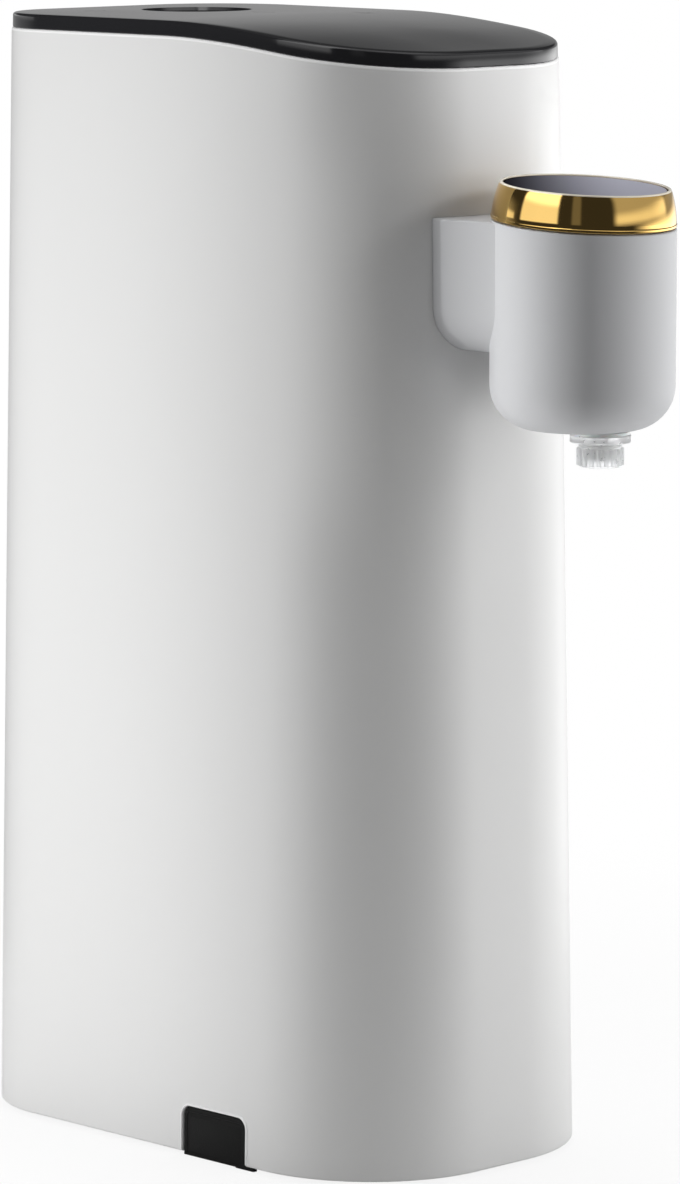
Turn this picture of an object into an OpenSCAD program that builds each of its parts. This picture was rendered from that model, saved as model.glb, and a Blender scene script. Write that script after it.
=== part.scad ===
// Desktop instant hot-water dispenser: a tall drafted body with a waved lid, a bottle socket in the
// lid, and a tap head on an arm. The tap's ring turns and its disc presses. Millimetres, +Z up, the
// tap faces -Y, and the origin is on the floor under the middle of the whole outline.

/* [Body] */
// Height of the shell at the rear, from its lower edge to the lid
body_h = 310; // [285:1:340]
// Depth of the body at the lid, front to rear
body_depth = 160; // [150:1:175]
// Width of the body at the lid, across the front curve's ends
front_w = 94; // [90:1:104]
// Width of the body at the lid, across the rear
rear_w = 97; // [92:1:108]
// Corner radius of the plan at the front
front_r = 36.8; // [33:0.1:40]
// Corner radius of the plan at the rear
rear_r = 27.5; // [22:0.5:34]
// Outward slope of the walls, in mm for each mm downwards
draft = 0.018; // [0.006:0.002:0.03]
// Wall thickness of the shell
wall = 2.4; // [2:0.1:3]
// Gap between the floor and the lower edge of the shell
foot_gap = 1.2; // [0.8:0.1:2]

/* [Lid] */
// Thickness of the lid plate
lid_t = 4.6; // [3.6:0.1:6]
// How far the lid's wave falls in all
lid_drop = 9.3; // [4:0.1:12]
// Distance behind the body's front at which the wave begins
wave_start = 81.6; // [60:0.2:100]
// Length over which the wave falls
wave_len = 118; // [90:1:140]
// Radius of the bottle socket's bore
socket_r = 14.4; // [13.6:0.1:15]
// Depth of the bottle socket's straight bore
socket_depth = 17; // [12:0.5:24]
// Distance of the socket's axis from the body's rear at the lid
socket_inset = 41.4; // [36:0.2:48]

/* [Tap] */
// Diameter of the tap head
head_d = 49.8; // [46:0.2:54]
// Distance from the body's front at the lid to the head's axis
head_reach = 33.6; // [31:0.2:44]
// Height of the head's underside above the floor
head_z = 208.7; // [190:0.1:215]
// Height of the head at its axis, up to the ring's seat
head_h = 55.2; // [50:0.1:62]
// Radius of the fillet round the head's underside
head_fillet = 12; // [6:0.5:12]
// Forward lean of the head's top face, in degrees
head_lean = 4; // [0:0.5:6]
// Wall thickness of the tap's moulding
tap_wall = 2.4; // [2:0.1:2.8]
// Width of the arm
arm_w = 44.6; // [40:0.2:46]
// Height of the arm
arm_h = 36.2; // [30:0.2:38]
// Radius of the arm's two lower corners
arm_r = 12; // [6:0.5:14]
// Height of the turning ring
ring_h = 9.8; // [8:0.1:12]
// Radius by which the ring narrows from its foot to its rim
ring_taper = 1.8; // [1:0.1:2.4]
// Travel of the press disc
press_travel = 1.2; // [0.6:0.1:1.4]
// Distance of the nozzle's axis in front of the head's axis
nozzle_offset = 6.7; // [4:0.1:7]
// Radius of the nozzle's ribbed body
nozzle_r = 6.5; // [5.8:0.1:7]
// Length of the nozzle below the head
nozzle_drop = 9.5; // [8:0.1:14]

/* [Water path] */
// Outer radius of the heater's tube
heater_r = 21; // [17:0.5:22]
// Length of the heater's tube
heater_len = 100; // [70:1:110]
// Radius of the pump's motor
motor_r = 14; // [12:0.5:15]
// Length of the pump's motor
motor_len = 36; // [28:1:40]
// Outer radius of the hoses
hose_r = 4.3; // [3.8:0.1:4.6]
// Radius of the hose barbs
barb_r = 3; // [2.6:0.1:3.2]

/* [Base] */
// Width of the gland in the body's flank
gland_w = 25.3; // [18:0.1:30]
// Height of the gland's top above the floor
gland_h = 14.5; // [10:0.1:20]
// Radius of the rubber feet
foot_r = 8; // [6:0.5:9]
// Thickness of the base plate
base_t = 2.6; // [2.4:0.1:4]

/* [Hidden] */

// Facets of round cutting and turned forms, and of the body's corners
$fn = 64;
corner_fn = 96;
// Clearances: a seat between fixed pieces, and a running or sliding fit
seat_gap = 0.05;
run_gap = 0.05;
// A cut runs this far past the face that it opens
past = 1;

// Plan of the body
spine_len = body_depth - front_r - rear_r;
head_r = head_d / 2;
reach_front = head_r + head_reach + front_r;
reach_back = spine_len + rear_r + draft * body_h;
front_c = (reach_front - reach_back) / 2;
rear_c = front_c + spine_len;
front_x = front_w / 2 - front_r;
rear_x = rear_w / 2 - rear_r;
corners = [[-front_x, front_c, front_r], [front_x, front_c, front_r],
    [rear_x, rear_c, rear_r], [-rear_x, rear_c, rear_r]];
body_front = front_c - front_r;
body_rear = rear_c + rear_r;

// Heights
lid_seat = foot_gap + body_h;
wave_y = body_front + wave_start;
base_z = foot_gap + 0.8;
base_top = base_z + base_t;

// Lid, socket and cup
socket_y = body_rear - socket_inset;
socket_lip = 2.2;
lid_hole_r = socket_r + 0.5;
lid_chamfer = 1;
cup_wall = 2.6;
cup_flange_r = socket_r + 5.6;
cup_flange_t = 2.8;
strainer_r = socket_r - 0.8;
strainer_t = 0.8;
cup_floor = 2;
socket_top = lid_seat - socket_lip;
cup_floor_top = socket_top - socket_depth - 1.4;
cup_bottom = cup_floor_top - cup_floor;
spigot_end = cup_bottom - 14;
seal_r = socket_r + 2;
rib_depth = 4;
rib_t = 1.6;
peg_r = 2;
peg_len = 8;
boss_r = 4.2;
boss_inset = 3.4;
touch_z = lid_seat - 15.2;
touch_board_t = 1.6;
touch_y0 = wave_y - 58;
touch_len = 50;
touch_w = 44;
pad_rows = [8, 24, 40];
pad_r = 4;
touch_post_r = 2.5;

// Tap
head_y = body_front - head_reach;
seat_z = head_z + head_h;
seat_wall = 1.6;
seat_depth = 6;
base_disc_t = 2.4;
hub_r = 16;
hub_bore = 13.6;
hub_top = 4.6;
ring_foot = 0.4;
ring_bore = head_r - 2.87;
rim_t = 0.75;
carrier_web = [ring_foot, 2.8];
carrier_rim_top = 5.4;
clip_t = 0.8;
clip_z = carrier_web[1] + 0.2;
disc_t = 1.5;
disc_top = ring_foot + ring_h - 0.4;
disc_r = ring_bore - 0.28;
plate_t = 1.4;
plate_z = disc_top - disc_t - plate_t;
guide_r = hub_bore - 0.08;
guide_wall = 1.6;
knob_board_t = 1.6;
knob_board_z = base_disc_t - seat_depth;
guide_foot = knob_board_z + knob_board_t + press_travel + 0.3;
switch_h = 3.5;
switch_w = 6;
spring_r = 8;
spring_wire = 0.35;
arm_top = seat_z + 0.5;
arm_bottom = arm_top - arm_h;
arm_end = front_c - 30;
arm_boss_r = 3.4;
arm_boss_in = (arm_r - tap_wall - arm_boss_r + 0.8) / sqrt(2);
arm_boss = [[arm_w / 2 - tap_wall - arm_boss_r + 0.4, arm_top - tap_wall - arm_boss_r + 0.4],
    [arm_w / 2 - arm_r + arm_boss_in, arm_bottom + arm_r - arm_boss_in]];
bracket_t = 3.5;
bracket_w = 56;
bracket_margin = 6;
nozzle_y = head_y - nozzle_offset;
nozzle_seal_t = 0.8;
nozzle_flange_t = 2.2;
nozzle_stem_r = 5;
nozzle_top = head_z + 20;
nut_h = 4;
mouth_r = 4.6;

// Base
foot_t = foot_gap + 1.4;
feet = [[-20, front_c - 22], [20, front_c - 22], [-32, rear_c + 9], [32, rear_c + 9]];
gland_y = front_c + 19;
gland_depth = 8;
gland_z = 0.2;

// Chassis, with the heater in front of it and the pump and the board behind it
chassis_y = wave_y + 2.5;
chassis_t = 3;
chassis_w = 76;
chassis_top = head_z + 42;
flange_t = 3;
flange_len = 18;
heater_y = chassis_y - 38;
heater_z = 66;
heater_top = heater_z + heater_len;
heater_wall = 1.5;
cap_h = 10;
cap_lip = 4;
port_len = 10;
port_bore = 1.8;
outlet_y = heater_y - 11;
probe_y = heater_y + 11;
element_x = 9;
element_r = 3.2;
pump_y = chassis_y + 22;
pump_port_x = 8;
pump_r = motor_r + 4;
pump_z = base_top + flange_t;
pump_h = 24;
motor_top = pump_z + motor_len;
shaft_r = 1.6;
chamber_r = 9.5;
cam_r = 5;
meter = [-30, chassis_y - 13, 84];
meter_r = 12;
meter_h = 18;
meter_port = 5;
pivot_r = 1;
board_y = chassis_y + 30;
board_t = 1.6;
board_w = 68;
board_z = 88;
board_h = 106;
post_x = 28;
post_inset = 8;
screw_r = 1.2;
screw_head = 2.8;

// Routes of the hoses and the lead, from port to port; a hose's sleeve ends just past its barb
hose_tip = port_len + 1;
meter_in = meter[0] + meter_port;
meter_out = meter[0] - meter_port;
feed_z = heater_z - cap_h - 23;
arm_mid = arm_bottom + 15;
inlet_route = [[0, socket_y, spigot_end + 8], [0, socket_y, spigot_end - 1],
    [0, socket_y - 1, drop(0.94)], [1, socket_y - 8, drop(0.83)], [3, pump_y - 5, drop(0.68)],
    [6, pump_y - 7, drop(0.52)], [pump_port_x, pump_y - 7, drop(0.31)],
    [pump_port_x, pump_y - 3, drop(0.15)], [pump_port_x, pump_y, pump_top() + hose_tip],
    [pump_port_x, pump_y, pump_top() + 2]];
pump_route = [[-pump_port_x, pump_y, pump_top() + 2], [-pump_port_x, pump_y, pump_top() + hose_tip],
    [-9, pump_y - 2, meter_top() - 4], [-14, pump_y - 8, meter_top() + 12],
    [-19, chassis_y + 6, meter_top() + 23], [-23, chassis_y - 2, meter_top() + 28],
    [meter_in, meter[1] + 4, meter_top() + 27], [meter_in, meter[1], meter_top() + 19],
    [meter_in, meter[1], meter_top() + hose_tip], [meter_in, meter[1], meter_top() + 2]];
feed_route = [[meter_out, meter[1], meter[2] - 2], [meter_out, meter[1], meter[2] - hose_tip],
    [-33, meter[1] - 4, feed_z + 23], [-25, heater_y + 10, feed_z + 7], [-10, heater_y + 2, feed_z],
    [-1, heater_y, feed_z + 5], [0, heater_y, heater_z - cap_h - hose_tip],
    [0, heater_y, heater_z - cap_h - 2]];
outlet_route = [[0, outlet_y, heater_top + cap_h + 2], [0, outlet_y, heater_top + cap_h + hose_tip],
    [0, outlet_y - 3, rise(0.38)], [0, outlet_y - 12, rise(0.77)], [0, arm_end + 4, arm_mid],
    [0, arm_end - 16, arm_mid + 4], [0, head_y + 9, arm_mid + 5], [0, nozzle_y + 5, arm_mid + 2],
    [0, nozzle_y, nozzle_top + port_len - 3], [0, nozzle_y, nozzle_top - 8]];
lead_route = [[20, board_y - 3, board_z + board_h - 4], [20, board_y - 6, board_z + board_h + 21],
    [18, chassis_y + 12, chassis_top - 7], [14, chassis_y, chassis_top + 7],
    [11, chassis_y - 22, arm_top - 5], [10, chassis_y - 50, arm_top - 7],
    [10, arm_end - 3, arm_top - 10], [10, head_y + 16, arm_top - 13], [8, head_y + 7, arm_top - 12],
    [7, head_y + 3, seat_z - seat_depth - 0.6]];
lead_r = 1.6;
route_steps = 4;
hose_sides = 10;

function pump_top() = motor_top + pump_h;
function meter_top() = meter[2] + meter_h;

// Heights of the inlet hose between the pump and the cup, and of the outlet hose up to the arm
function drop(t) = pump_top() + hose_tip + (spigot_end - pump_top() - hose_tip) * t;
function rise(t) = heater_top + cap_h + hose_tip + (arm_mid - heater_top - cap_h - hose_tip) * t;

// How far the walls stand out at a height, against the body's size at the lid
function flare(z) = draft * (lid_seat - z);

// Underside of the lid along the depth: flat at the rear, then an S-shaped fall to the front
function wave(y) = let (t = min(1, max(0, (wave_y - y) / wave_len)))
    lid_seat - lid_drop * t * t * (3 - 2 * t);

// Place beside a corner of the plan where a boss meets the wall, at a height
function boss_at(c, z) = let (reach = (c[2] + flare(z) - wall - boss_inset) / sqrt(2))
    [c[0] + sign(c[0]) * reach, c[1] + sign(c[1] - (front_c + rear_c) / 2) * reach];

// Smooth route through hand-set points, and the frames carried along it
function spline(a, b, c, d, t) = 0.5 * (2 * b + (c - a) * t + (2 * a - 5 * b + 4 * c - d) * t * t
    + (3 * b - a - 3 * c + d) * t * t * t);
function smooth_route(p) = let (n = len(p)) concat([p[0]],
    [for (i = [0:n - 2]) for (k = [1:route_steps])
        let (t = k / route_steps) i == 0 || i == n - 2 ? p[i] + (p[i + 1] - p[i]) * t
            : spline(p[i - 1], p[i], p[i + 1], p[i + 2], t)]);
function unit(v) = v / norm(v);
function tangents(p) = let (n = len(p)) [for (i = [0:n - 1]) unit(p[min(n - 1, i + 1)] - p[max(0, i - 1)])];
function carried(t) = [for (i = 0, u = unit(cross(t[0], [0.2, 1, 0.1])); i < len(t);
    i = i + 1, u = i < len(t) ? unit(u - (u * t[i]) * t[i]) : u) u];

// Round tube along a list of points
module sweep(p, r, sides) {
    t = tangents(p);
    u = carried(t);
    n = len(p);
    rings = [for (i = [0:n - 1]) for (k = [0:sides - 1])
        let (a = 360 * k / sides) p[i] + r * (cos(a) * u[i] + sin(a) * cross(t[i], u[i]))];
    walls = [for (i = [0:n - 2]) for (k = [0:sides - 1]) let (m = (k + 1) % sides)
        [i * sides + k, (i + 1) * sides + k, (i + 1) * sides + m, i * sides + m]];
    caps = [[for (k = [0:sides - 1]) k], [for (k = [sides - 1:-1:0]) (n - 1) * sides + k]];
    polyhedron(rings, concat(walls, caps), convexity = 4);
}

// Hose with an open sleeve over the barb at each end of its route
module hose(p) {
    q = smooth_route(p);
    inner = [for (i = [route_steps:len(q) - 1 - route_steps]) q[i]];
    sweep(inner, hose_r, hose_sides);
    for (end = [[p[0], p[1]], [p[len(p) - 1], p[len(p) - 2]]]) {
        low = min(end[0][2], end[1][2]);
        translate([end[0][0], end[0][1], low])
            ring(barb_r + seat_gap, hose_r, abs(end[0][2] - end[1][2]));
    }
}

// Coil of round wire between two heights
module coil(r, wire, z0, z1, turns, steps) {
    n = turns * steps;
    p = [for (i = [0:n]) [r * cos(360 * i / steps), r * sin(360 * i / steps),
        z0 + wire + (z1 - z0 - 2 * wire) * i / n]];
    sweep(p, wire, 6);
}

module ring(inner, outer, h) {
    difference() {
        cylinder(h = h, r = outer);
        translate([0, 0, -past]) cylinder(h = h + 2 * past, r = inner);
    }
}

// Drafted solid of the body's plan between two heights, drawn in by an inset
module drafted(z0, z1, inset) {
    hull() for (c = corners)
        translate([c[0], c[1], z0])
            cylinder(h = z1 - z0, r1 = c[2] + flare(z0) - inset, r2 = c[2] + flare(z1) - inset,
                $fn = corner_fn);
}

// Slab right through the body between two offsets of the wave; an offset of undef means the floor
module wave_slab(low, high) {
    y0 = body_front - 20;
    y1 = body_rear + 20;
    steps = 22;
    ys = concat([y0], [for (i = [0:steps]) body_front - 1 + (wave_y - body_front + 1) * i / steps], [y1]);
    top = [for (y = ys) [y, wave(y) + high]];
    below = is_undef(low) ? [[y1, -past], [y0, -past]]
        : [for (i = [len(ys) - 1:-1:0]) [ys[i], wave(ys[i]) + low]];
    rotate([90, 0, 90]) linear_extrude(height = rear_w * 2, center = true) polygon(concat(top, below));
}

module screw(r, head_r, head_t, len) {
    cylinder(h = head_t, r = head_r);
    translate([0, 0, head_t - 0.01]) cylinder(h = len - head_t, r = r);
}

// Places at the head's seat, leaned forward with the head's top face
module at_seat(z = 0) {
    translate([0, head_y, seat_z]) rotate([head_lean, 0, 0]) translate([0, 0, z]) children();
}

// ---- Body ----

module gland_outline(grow, top) {
    corner = 3;
    half = gland_w / 2 + grow;
    translate([0, gland_y, 0]) rotate([90, 0, -90]) linear_extrude(height = rear_w, convexity = 4) {
        translate([-half, -past]) square([2 * half, top + past - corner]);
        translate([-half + corner, -past]) square([2 * (half - corner), top + past]);
        for (s = [-1, 1]) translate([s * (half - corner), top - corner]) circle(corner);
    }
}

module arm_outline(grow) {
    half = arm_w / 2 + grow;
    r = max(1, arm_r + grow);
    low = arm_bottom - grow;
    translate([-half, low + r]) square([2 * half, arm_top + grow - low - r]);
    translate([-half + r, low]) square([2 * (half - r), r + 1]);
    for (s = [-1, 1]) translate([s * (half - r), low + r]) circle(r);
}

module arm_prism(y0, y1, grow) {
    translate([0, y1, 0]) rotate([90, 0, 0]) linear_extrude(height = y1 - y0, convexity = 4)
        arm_outline(grow);
}

module outer_shell() color([0.93, 0.93, 0.92]) {
    difference() {
        intersection() {
            drafted(foot_gap, lid_seat, 0);
            wave_slab(undef, 0);
        }
        drafted(foot_gap - past, lid_seat + past, wall);
        arm_prism(body_front - 20, front_c - 20, 0.12);
        gland_outline(0.2, gland_h + 0.2);
    }
    for (c = corners) {
        low = boss_at(c, base_top + 12);
        translate([low[0], low[1], base_top + 0.1]) ring(screw_r + seat_gap, boss_r, 24);
        high = boss_at(c, lid_seat);
        translate([high[0], high[1], wave(high[1]) - 16]) ring(peg_r + 0.1, boss_r, 15.6);
    }
}

module base_plate() color([0.82, 0.82, 0.81]) {
    rib_h = 5;
    difference() {
        union() {
            drafted(base_z, base_top, wall + 0.25);
            for (x = [-30, 30]) translate([x - 1, front_c - 6, base_top - 0.1])
                cube([2, chassis_y - flange_len - front_c + 4, rib_h]);
            translate([-30, front_c - 14, base_top - 0.1]) cube([60, 2, rib_h]);
        }
        for (f = feet) translate([f[0], f[1], base_z - past])
            cylinder(h = past + foot_t - base_z, r = foot_r + 0.1);
        for (c = corners) {
            p = boss_at(c, base_top + 12);
            translate([p[0], p[1], base_z - past]) cylinder(h = past + 1.6, r = screw_head + 0.2);
            translate([p[0], p[1], base_z]) cylinder(h = base_t + past, r = screw_r + seat_gap);
        }
        for (p = frame_points) translate([p[0], p[1], base_z + 0.4])
            cylinder(h = base_t + past, r = screw_r + seat_gap);
        translate([-rear_w, gland_y - gland_w / 2 - 3, base_z - past])
            cube([rear_w - front_w / 2 + gland_depth + 1, gland_w + 6, base_t + 3 * past]);
        // slots that let warm air in
        for (i = [0:5]) translate([-16, front_c + 24 + 7 * i, base_z - past])
            cube([32, 2.4, base_t + 2 * past]);
    }
}

module rubber_feet() color([0.12, 0.12, 0.12])
    for (f = feet) translate([f[0], f[1], 0]) cylinder(h = foot_t, r = foot_r);

module base_screws() color([0.6, 0.6, 0.62])
    for (c = corners) {
        p = boss_at(c, base_top + 12);
        translate([p[0], p[1], base_z + 0.2]) screw(screw_r, screw_head, 1.4, 14);
    }

module cord_gland() color([0.08, 0.08, 0.08]) {
    inner = gland_depth + front_w / 2;
    difference() {
        intersection() {
            drafted(gland_z, gland_h, 0.3);
            gland_outline(0, gland_h);
            translate([-rear_w, -rear_w, gland_z])
                cube([rear_w - front_w / 2 + gland_depth, 2 * rear_w, gland_h]);
        }
        translate([-inner + 5, gland_y, gland_h / 2]) rotate([0, 90, 0]) cylinder(h = inner, r = 3.5);
    }
    // pull lip under the shell's edge
    intersection() {
        drafted(gland_z, foot_gap - 0.1, 0.3);
        translate([-rear_w, gland_y - gland_w / 2 - 3.4, gland_z])
            cube([rear_w - front_w / 2, 5, foot_gap - 0.1 - gland_z]);
    }
}

// ---- Lid ----

module lid_plate() color([0.1, 0.1, 0.11]) {
    difference() {
        union() {
            intersection() {
                drafted(lid_seat - lid_drop - past, lid_seat + lid_t + past, 0.15);
                wave_slab(0, lid_t);
            }
            intersection() {
                difference() {
                    drafted(lid_seat - lid_drop - 8, lid_seat + past, wall + 0.2);
                    drafted(lid_seat - lid_drop - 8, lid_seat + past, wall + 0.2 + rib_t);
                    for (c = corners) {
                        p = boss_at(c, lid_seat);
                        translate([p[0], p[1], lid_seat - 30]) cylinder(h = 40, r = boss_r + 0.4);
                    }
                }
                wave_slab(-rib_depth, 0.1);
            }
            for (c = corners) {
                p = boss_at(c, lid_seat);
                translate([p[0], p[1], wave(p[1]) - peg_len]) cylinder(h = peg_len + lid_t / 2, r = peg_r);
            }
            for (x = [-1, 1], y = [4, touch_len - 4]) let (at = touch_y0 + y)
                translate([x * (touch_w / 2 - 4), at, touch_z + touch_board_t])
                    cylinder(h = wave(at) - touch_z - touch_board_t + lid_t / 2, r = touch_post_r);
            // hooks that hold the cup's flange
            for (a = [30:120:270]) translate([0, socket_y, 0]) rotate([0, 0, a]) cup_hook();
        }
        translate([0, socket_y, lid_seat - past]) cylinder(h = lid_t + 2 * past, r = lid_hole_r);
        translate([0, socket_y, lid_seat + lid_t - lid_chamfer])
            cylinder(h = lid_chamfer + 0.01, r1 = lid_hole_r, r2 = lid_hole_r + lid_chamfer);
    }
}

module cup_hook() {
    hook_t = 2;
    post = cup_flange_r + seat_gap;
    catch = lid_seat - cup_flange_t;
    rotate([0, 0, -9]) rotate_extrude(angle = 18)
        polygon([[post, lid_seat + 0.5], [post + hook_t, lid_seat + 0.5], [post + hook_t, catch - 2],
            [post - 1, catch - 1], [post - 1, catch - seat_gap], [post, catch - seat_gap]]);
}

module touch_board() color([0.1, 0.35, 0.18])
    translate([-touch_w / 2, touch_y0, touch_z]) cube([touch_w, touch_len, touch_board_t]);

module touch_pads() color([0.3, 0.3, 0.3])
    for (y = pad_rows) translate([0, touch_y0 + y, touch_z + touch_board_t])
        cylinder(h = wave(touch_y0 + y - pad_r) - touch_z - touch_board_t - seat_gap, r = pad_r);

module socket_cup() color([0.2, 0.2, 0.21]) translate([0, socket_y, 0]) difference() {
    union() {
        translate([0, 0, lid_seat - cup_flange_t]) cylinder(h = cup_flange_t, r = cup_flange_r);
        translate([0, 0, cup_floor_top])
            cylinder(h = lid_seat - cup_floor_top - 1, r = socket_r + cup_wall);
        translate([0, 0, cup_bottom - 3])
            cylinder(h = cup_floor + 3.01, r1 = barb_r + 2, r2 = socket_r + cup_wall);
        translate([0, 0, spigot_end]) cylinder(h = cup_bottom - spigot_end, r = barb_r);
    }
    translate([0, 0, socket_top]) cylinder(h = socket_lip + past, r = seal_r + seat_gap);
    translate([0, 0, cup_floor_top]) cylinder(h = socket_top - cup_floor_top + 0.1, r = socket_r);
    translate([0, 0, cup_floor_top - strainer_t]) cylinder(h = strainer_t + 0.1, r = strainer_r);
    translate([0, 0, cup_bottom - 1]) cylinder(h = cup_floor + 1.01, r1 = port_bore, r2 = socket_r - 2);
    translate([0, 0, spigot_end - past]) cylinder(h = cup_bottom - spigot_end + past, r = port_bore);
}

module socket_seal() color([0.08, 0.08, 0.08])
    translate([0, socket_y, socket_top]) ring(socket_r + 0.1, seal_r, socket_lip);

module strainer() color([0.7, 0.7, 0.72])
    translate([0, socket_y, cup_floor_top - strainer_t]) difference() {
        cylinder(h = strainer_t, r = strainer_r - seat_gap);
        for (k = [0:2]) for (a = [0:60 / (k + 1):359]) rotate([0, 0, a])
            translate([3.6 * (k + 1), 0, -past]) cylinder(h = 3, r = 1.1, $fn = 16);
    }

// ---- Chassis and board ----

frame_points = [[-28, chassis_y - 10], [28, chassis_y - 10], [-22, pump_y], [22, pump_y]];

module chassis() color([0.75, 0.76, 0.78]) difference() {
    union() {
        translate([-chassis_w / 2, chassis_y, base_top])
            cube([chassis_w, chassis_t, chassis_top - base_top]);
        translate([-chassis_w / 2, chassis_y - flange_len, base_top])
            cube([chassis_w, flange_len + 1, flange_t]);
        for (x = [-1, 1]) {
            translate([x * (chassis_w / 2 - 1.5) - 1.5, chassis_y, base_top])
                cube([3, 9, chassis_top - base_top]);
            for (z = [board_z + post_inset, board_z + board_h - post_inset])
                translate([x * post_x, chassis_y + 1, z]) rotate([-90, 0, 0])
                    cylinder(h = board_y - chassis_y - 1, r = 3.6);
        }
    }
    // window for the pump's hose, and a hole that lightens the frame
    translate([-chassis_w / 2, chassis_y - past, meter_top() + 12]) cube([24, chassis_t + 12, 24]);
    translate([0, chassis_y - past, chassis_top - 37]) rotate([-90, 0, 0])
        cylinder(h = chassis_t + 2 * past, r = 16);
    for (x = [-1, 1], z = [board_z + post_inset, board_z + board_h - post_inset])
        translate([x * post_x, board_y - 12, z]) rotate([-90, 0, 0])
            cylinder(h = 13, r = screw_r + seat_gap);
    for (i = [0:1]) translate([frame_points[i][0], frame_points[i][1], base_top - past])
        cylinder(h = flange_t + 2 * past, r = screw_r + seat_gap);
}

module frame_screws() color([0.6, 0.6, 0.62])
    for (p = frame_points) translate([p[0], p[1], base_top + flange_t + 1.4]) rotate([180, 0, 0])
        screw(screw_r, screw_head, 1.4, 6);

module power_board() color([0.1, 0.35, 0.18]) difference() {
    translate([-board_w / 2, board_y, board_z]) cube([board_w, board_t, board_h]);
    for (x = [-1, 1], z = [board_z + post_inset, board_z + board_h - post_inset])
        translate([x * post_x, board_y - past, z]) rotate([-90, 0, 0]) cylinder(h = 4, r = screw_r + 0.3);
}

module board_screws() color([0.6, 0.6, 0.62])
    for (x = [-1, 1], z = [board_z + post_inset, board_z + board_h - post_inset])
        translate([x * post_x, board_y + board_t + 1.4, z]) rotate([90, 0, 0])
            screw(screw_r, screw_head, 1.4, 9);

module transformer() color([0.85, 0.75, 0.2]) translate([-14, board_y + board_t, board_z + 36]) {
    translate([-11, 0, -12]) cube([22, 18, 6]);
    translate([-11, 0, 6]) cube([22, 18, 6]);
    translate([-8, 2, -6.01]) cube([16, 15, 12.02]);
}

module relay() color([0.15, 0.3, 0.6])
    translate([4, board_y + board_t, board_z + 48]) cube([15, 16, 19]);

module heat_sink() color([0.7, 0.7, 0.72]) translate([-22, board_y + board_t, board_z + 72]) {
    cube([40, 3, 24]);
    for (i = [0:7]) translate([i * 5.35, 2.9, 0]) cube([1.6, 14, 24]);
}

module terminal_block() color([0.2, 0.5, 0.3])
    translate([-20, board_y + board_t, board_z + 4]) difference() {
        cube([40, 12, 12]);
        for (i = [0:3]) translate([5 + 10 * i, 13, 6]) rotate([90, 0, 0]) cylinder(h = 6, r = 2.6);
    }

// ---- Pump, meter and heater ----

module pump_mount() color([0.15, 0.15, 0.15]) translate([0, pump_y, base_top]) difference() {
    union() {
        translate([-27, -12, 0]) cube([54, 24, flange_t]);
        cylinder(h = 16, r = motor_r + 3);
    }
    translate([0, 0, flange_t]) cylinder(h = 16, r = motor_r + seat_gap);
    for (x = [-22, 22]) translate([x, 0, -past]) cylinder(h = flange_t + 2 * past, r = screw_r + seat_gap);
}

module pump_motor() color([0.65, 0.66, 0.68]) translate([0, pump_y, 0]) difference() {
    union() {
        translate([0, 0, pump_z]) cylinder(h = motor_len, r = motor_r);
        translate([0, 0, motor_top - 0.01]) cylinder(h = 2, r = 4);
    }
    translate([0, 0, motor_top - 16]) cylinder(h = 20, r = shaft_r + run_gap);
}

module pump_head() color([0.2, 0.2, 0.2]) translate([0, pump_y, motor_top]) difference() {
    union() {
        cylinder(h = pump_h - 6, r = pump_r);
        translate([0, 0, pump_h - 6.01]) cylinder(h = 6.01, r = pump_r - 2);
        for (x = [-1, 1]) translate([x * pump_port_x, 0, pump_h - 0.01]) cylinder(h = port_len, r = barb_r);
        for (a = [45:90:315]) rotate([0, 0, a]) translate([pump_r - 3.4, 0, pump_h - 7])
            cylinder(h = 3, r = 2.4);
    }
    translate([0, 0, -past]) cylinder(h = 3 + past, r = 4 + seat_gap);
    translate([0, 0, 2.9]) cylinder(h = 11.1, r = chamber_r);
    translate([0, 0, 13.9]) cylinder(h = 4, r = shaft_r + run_gap);
    for (x = [-1, 1]) translate([x * pump_port_x, 0, 16]) cylinder(h = pump_h, r = port_bore);
}

module pump_rotor() color([0.75, 0.75, 0.76]) translate([0, pump_y, 0]) {
    translate([0, 0, motor_top - 15]) cylinder(h = 32, r = shaft_r);
    translate([1.5, 0, motor_top + 3.5]) cylinder(h = 5, r = cam_r);
    translate([0, 0, motor_top + 9]) cylinder(h = 1.6, r = chamber_r - 1.5);
}

module flow_meter() color([0.15, 0.15, 0.16]) translate([meter[0], meter[1], meter[2]]) difference() {
    union() {
        cylinder(h = meter_h, r = meter_r);
        translate([meter_port, 0, meter_h - 0.01]) cylinder(h = port_len, r = barb_r);
        translate([-meter_port, 0, -port_len]) cylinder(h = port_len + 0.01, r = barb_r);
        translate([-6, meter_r - 3, 2]) cube([12, chassis_y - meter[1] - meter_r + 3, meter_h - 4]);
    }
    translate([0, 0, 3]) cylinder(h = meter_h - 6, r = chamber_r);
    translate([0, 0, 1.5]) cylinder(h = meter_h - 3, r = pivot_r + run_gap);
    translate([meter_port, 0, meter_h - 4]) cylinder(h = port_len + 5, r = port_bore);
    translate([-meter_port, 0, -port_len - past]) cylinder(h = port_len + 5, r = port_bore);
}

module flow_impeller() color([0.9, 0.9, 0.9]) translate([meter[0], meter[1], meter[2]]) {
    translate([0, 0, 1.8]) cylinder(h = meter_h - 3.6, r = pivot_r);
    translate([0, 0, 5]) cylinder(h = meter_h - 10, r = 3);
    for (a = [0:60:300]) rotate([0, 0, a]) translate([2.5, -0.6, 5.2])
        cube([chamber_r - 3.7, 1.2, meter_h - 10.4]);
}

module heater_tube() color([0.75, 0.76, 0.78])
    translate([0, heater_y, heater_z]) ring(heater_r - heater_wall, heater_r, heater_len);

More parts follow.
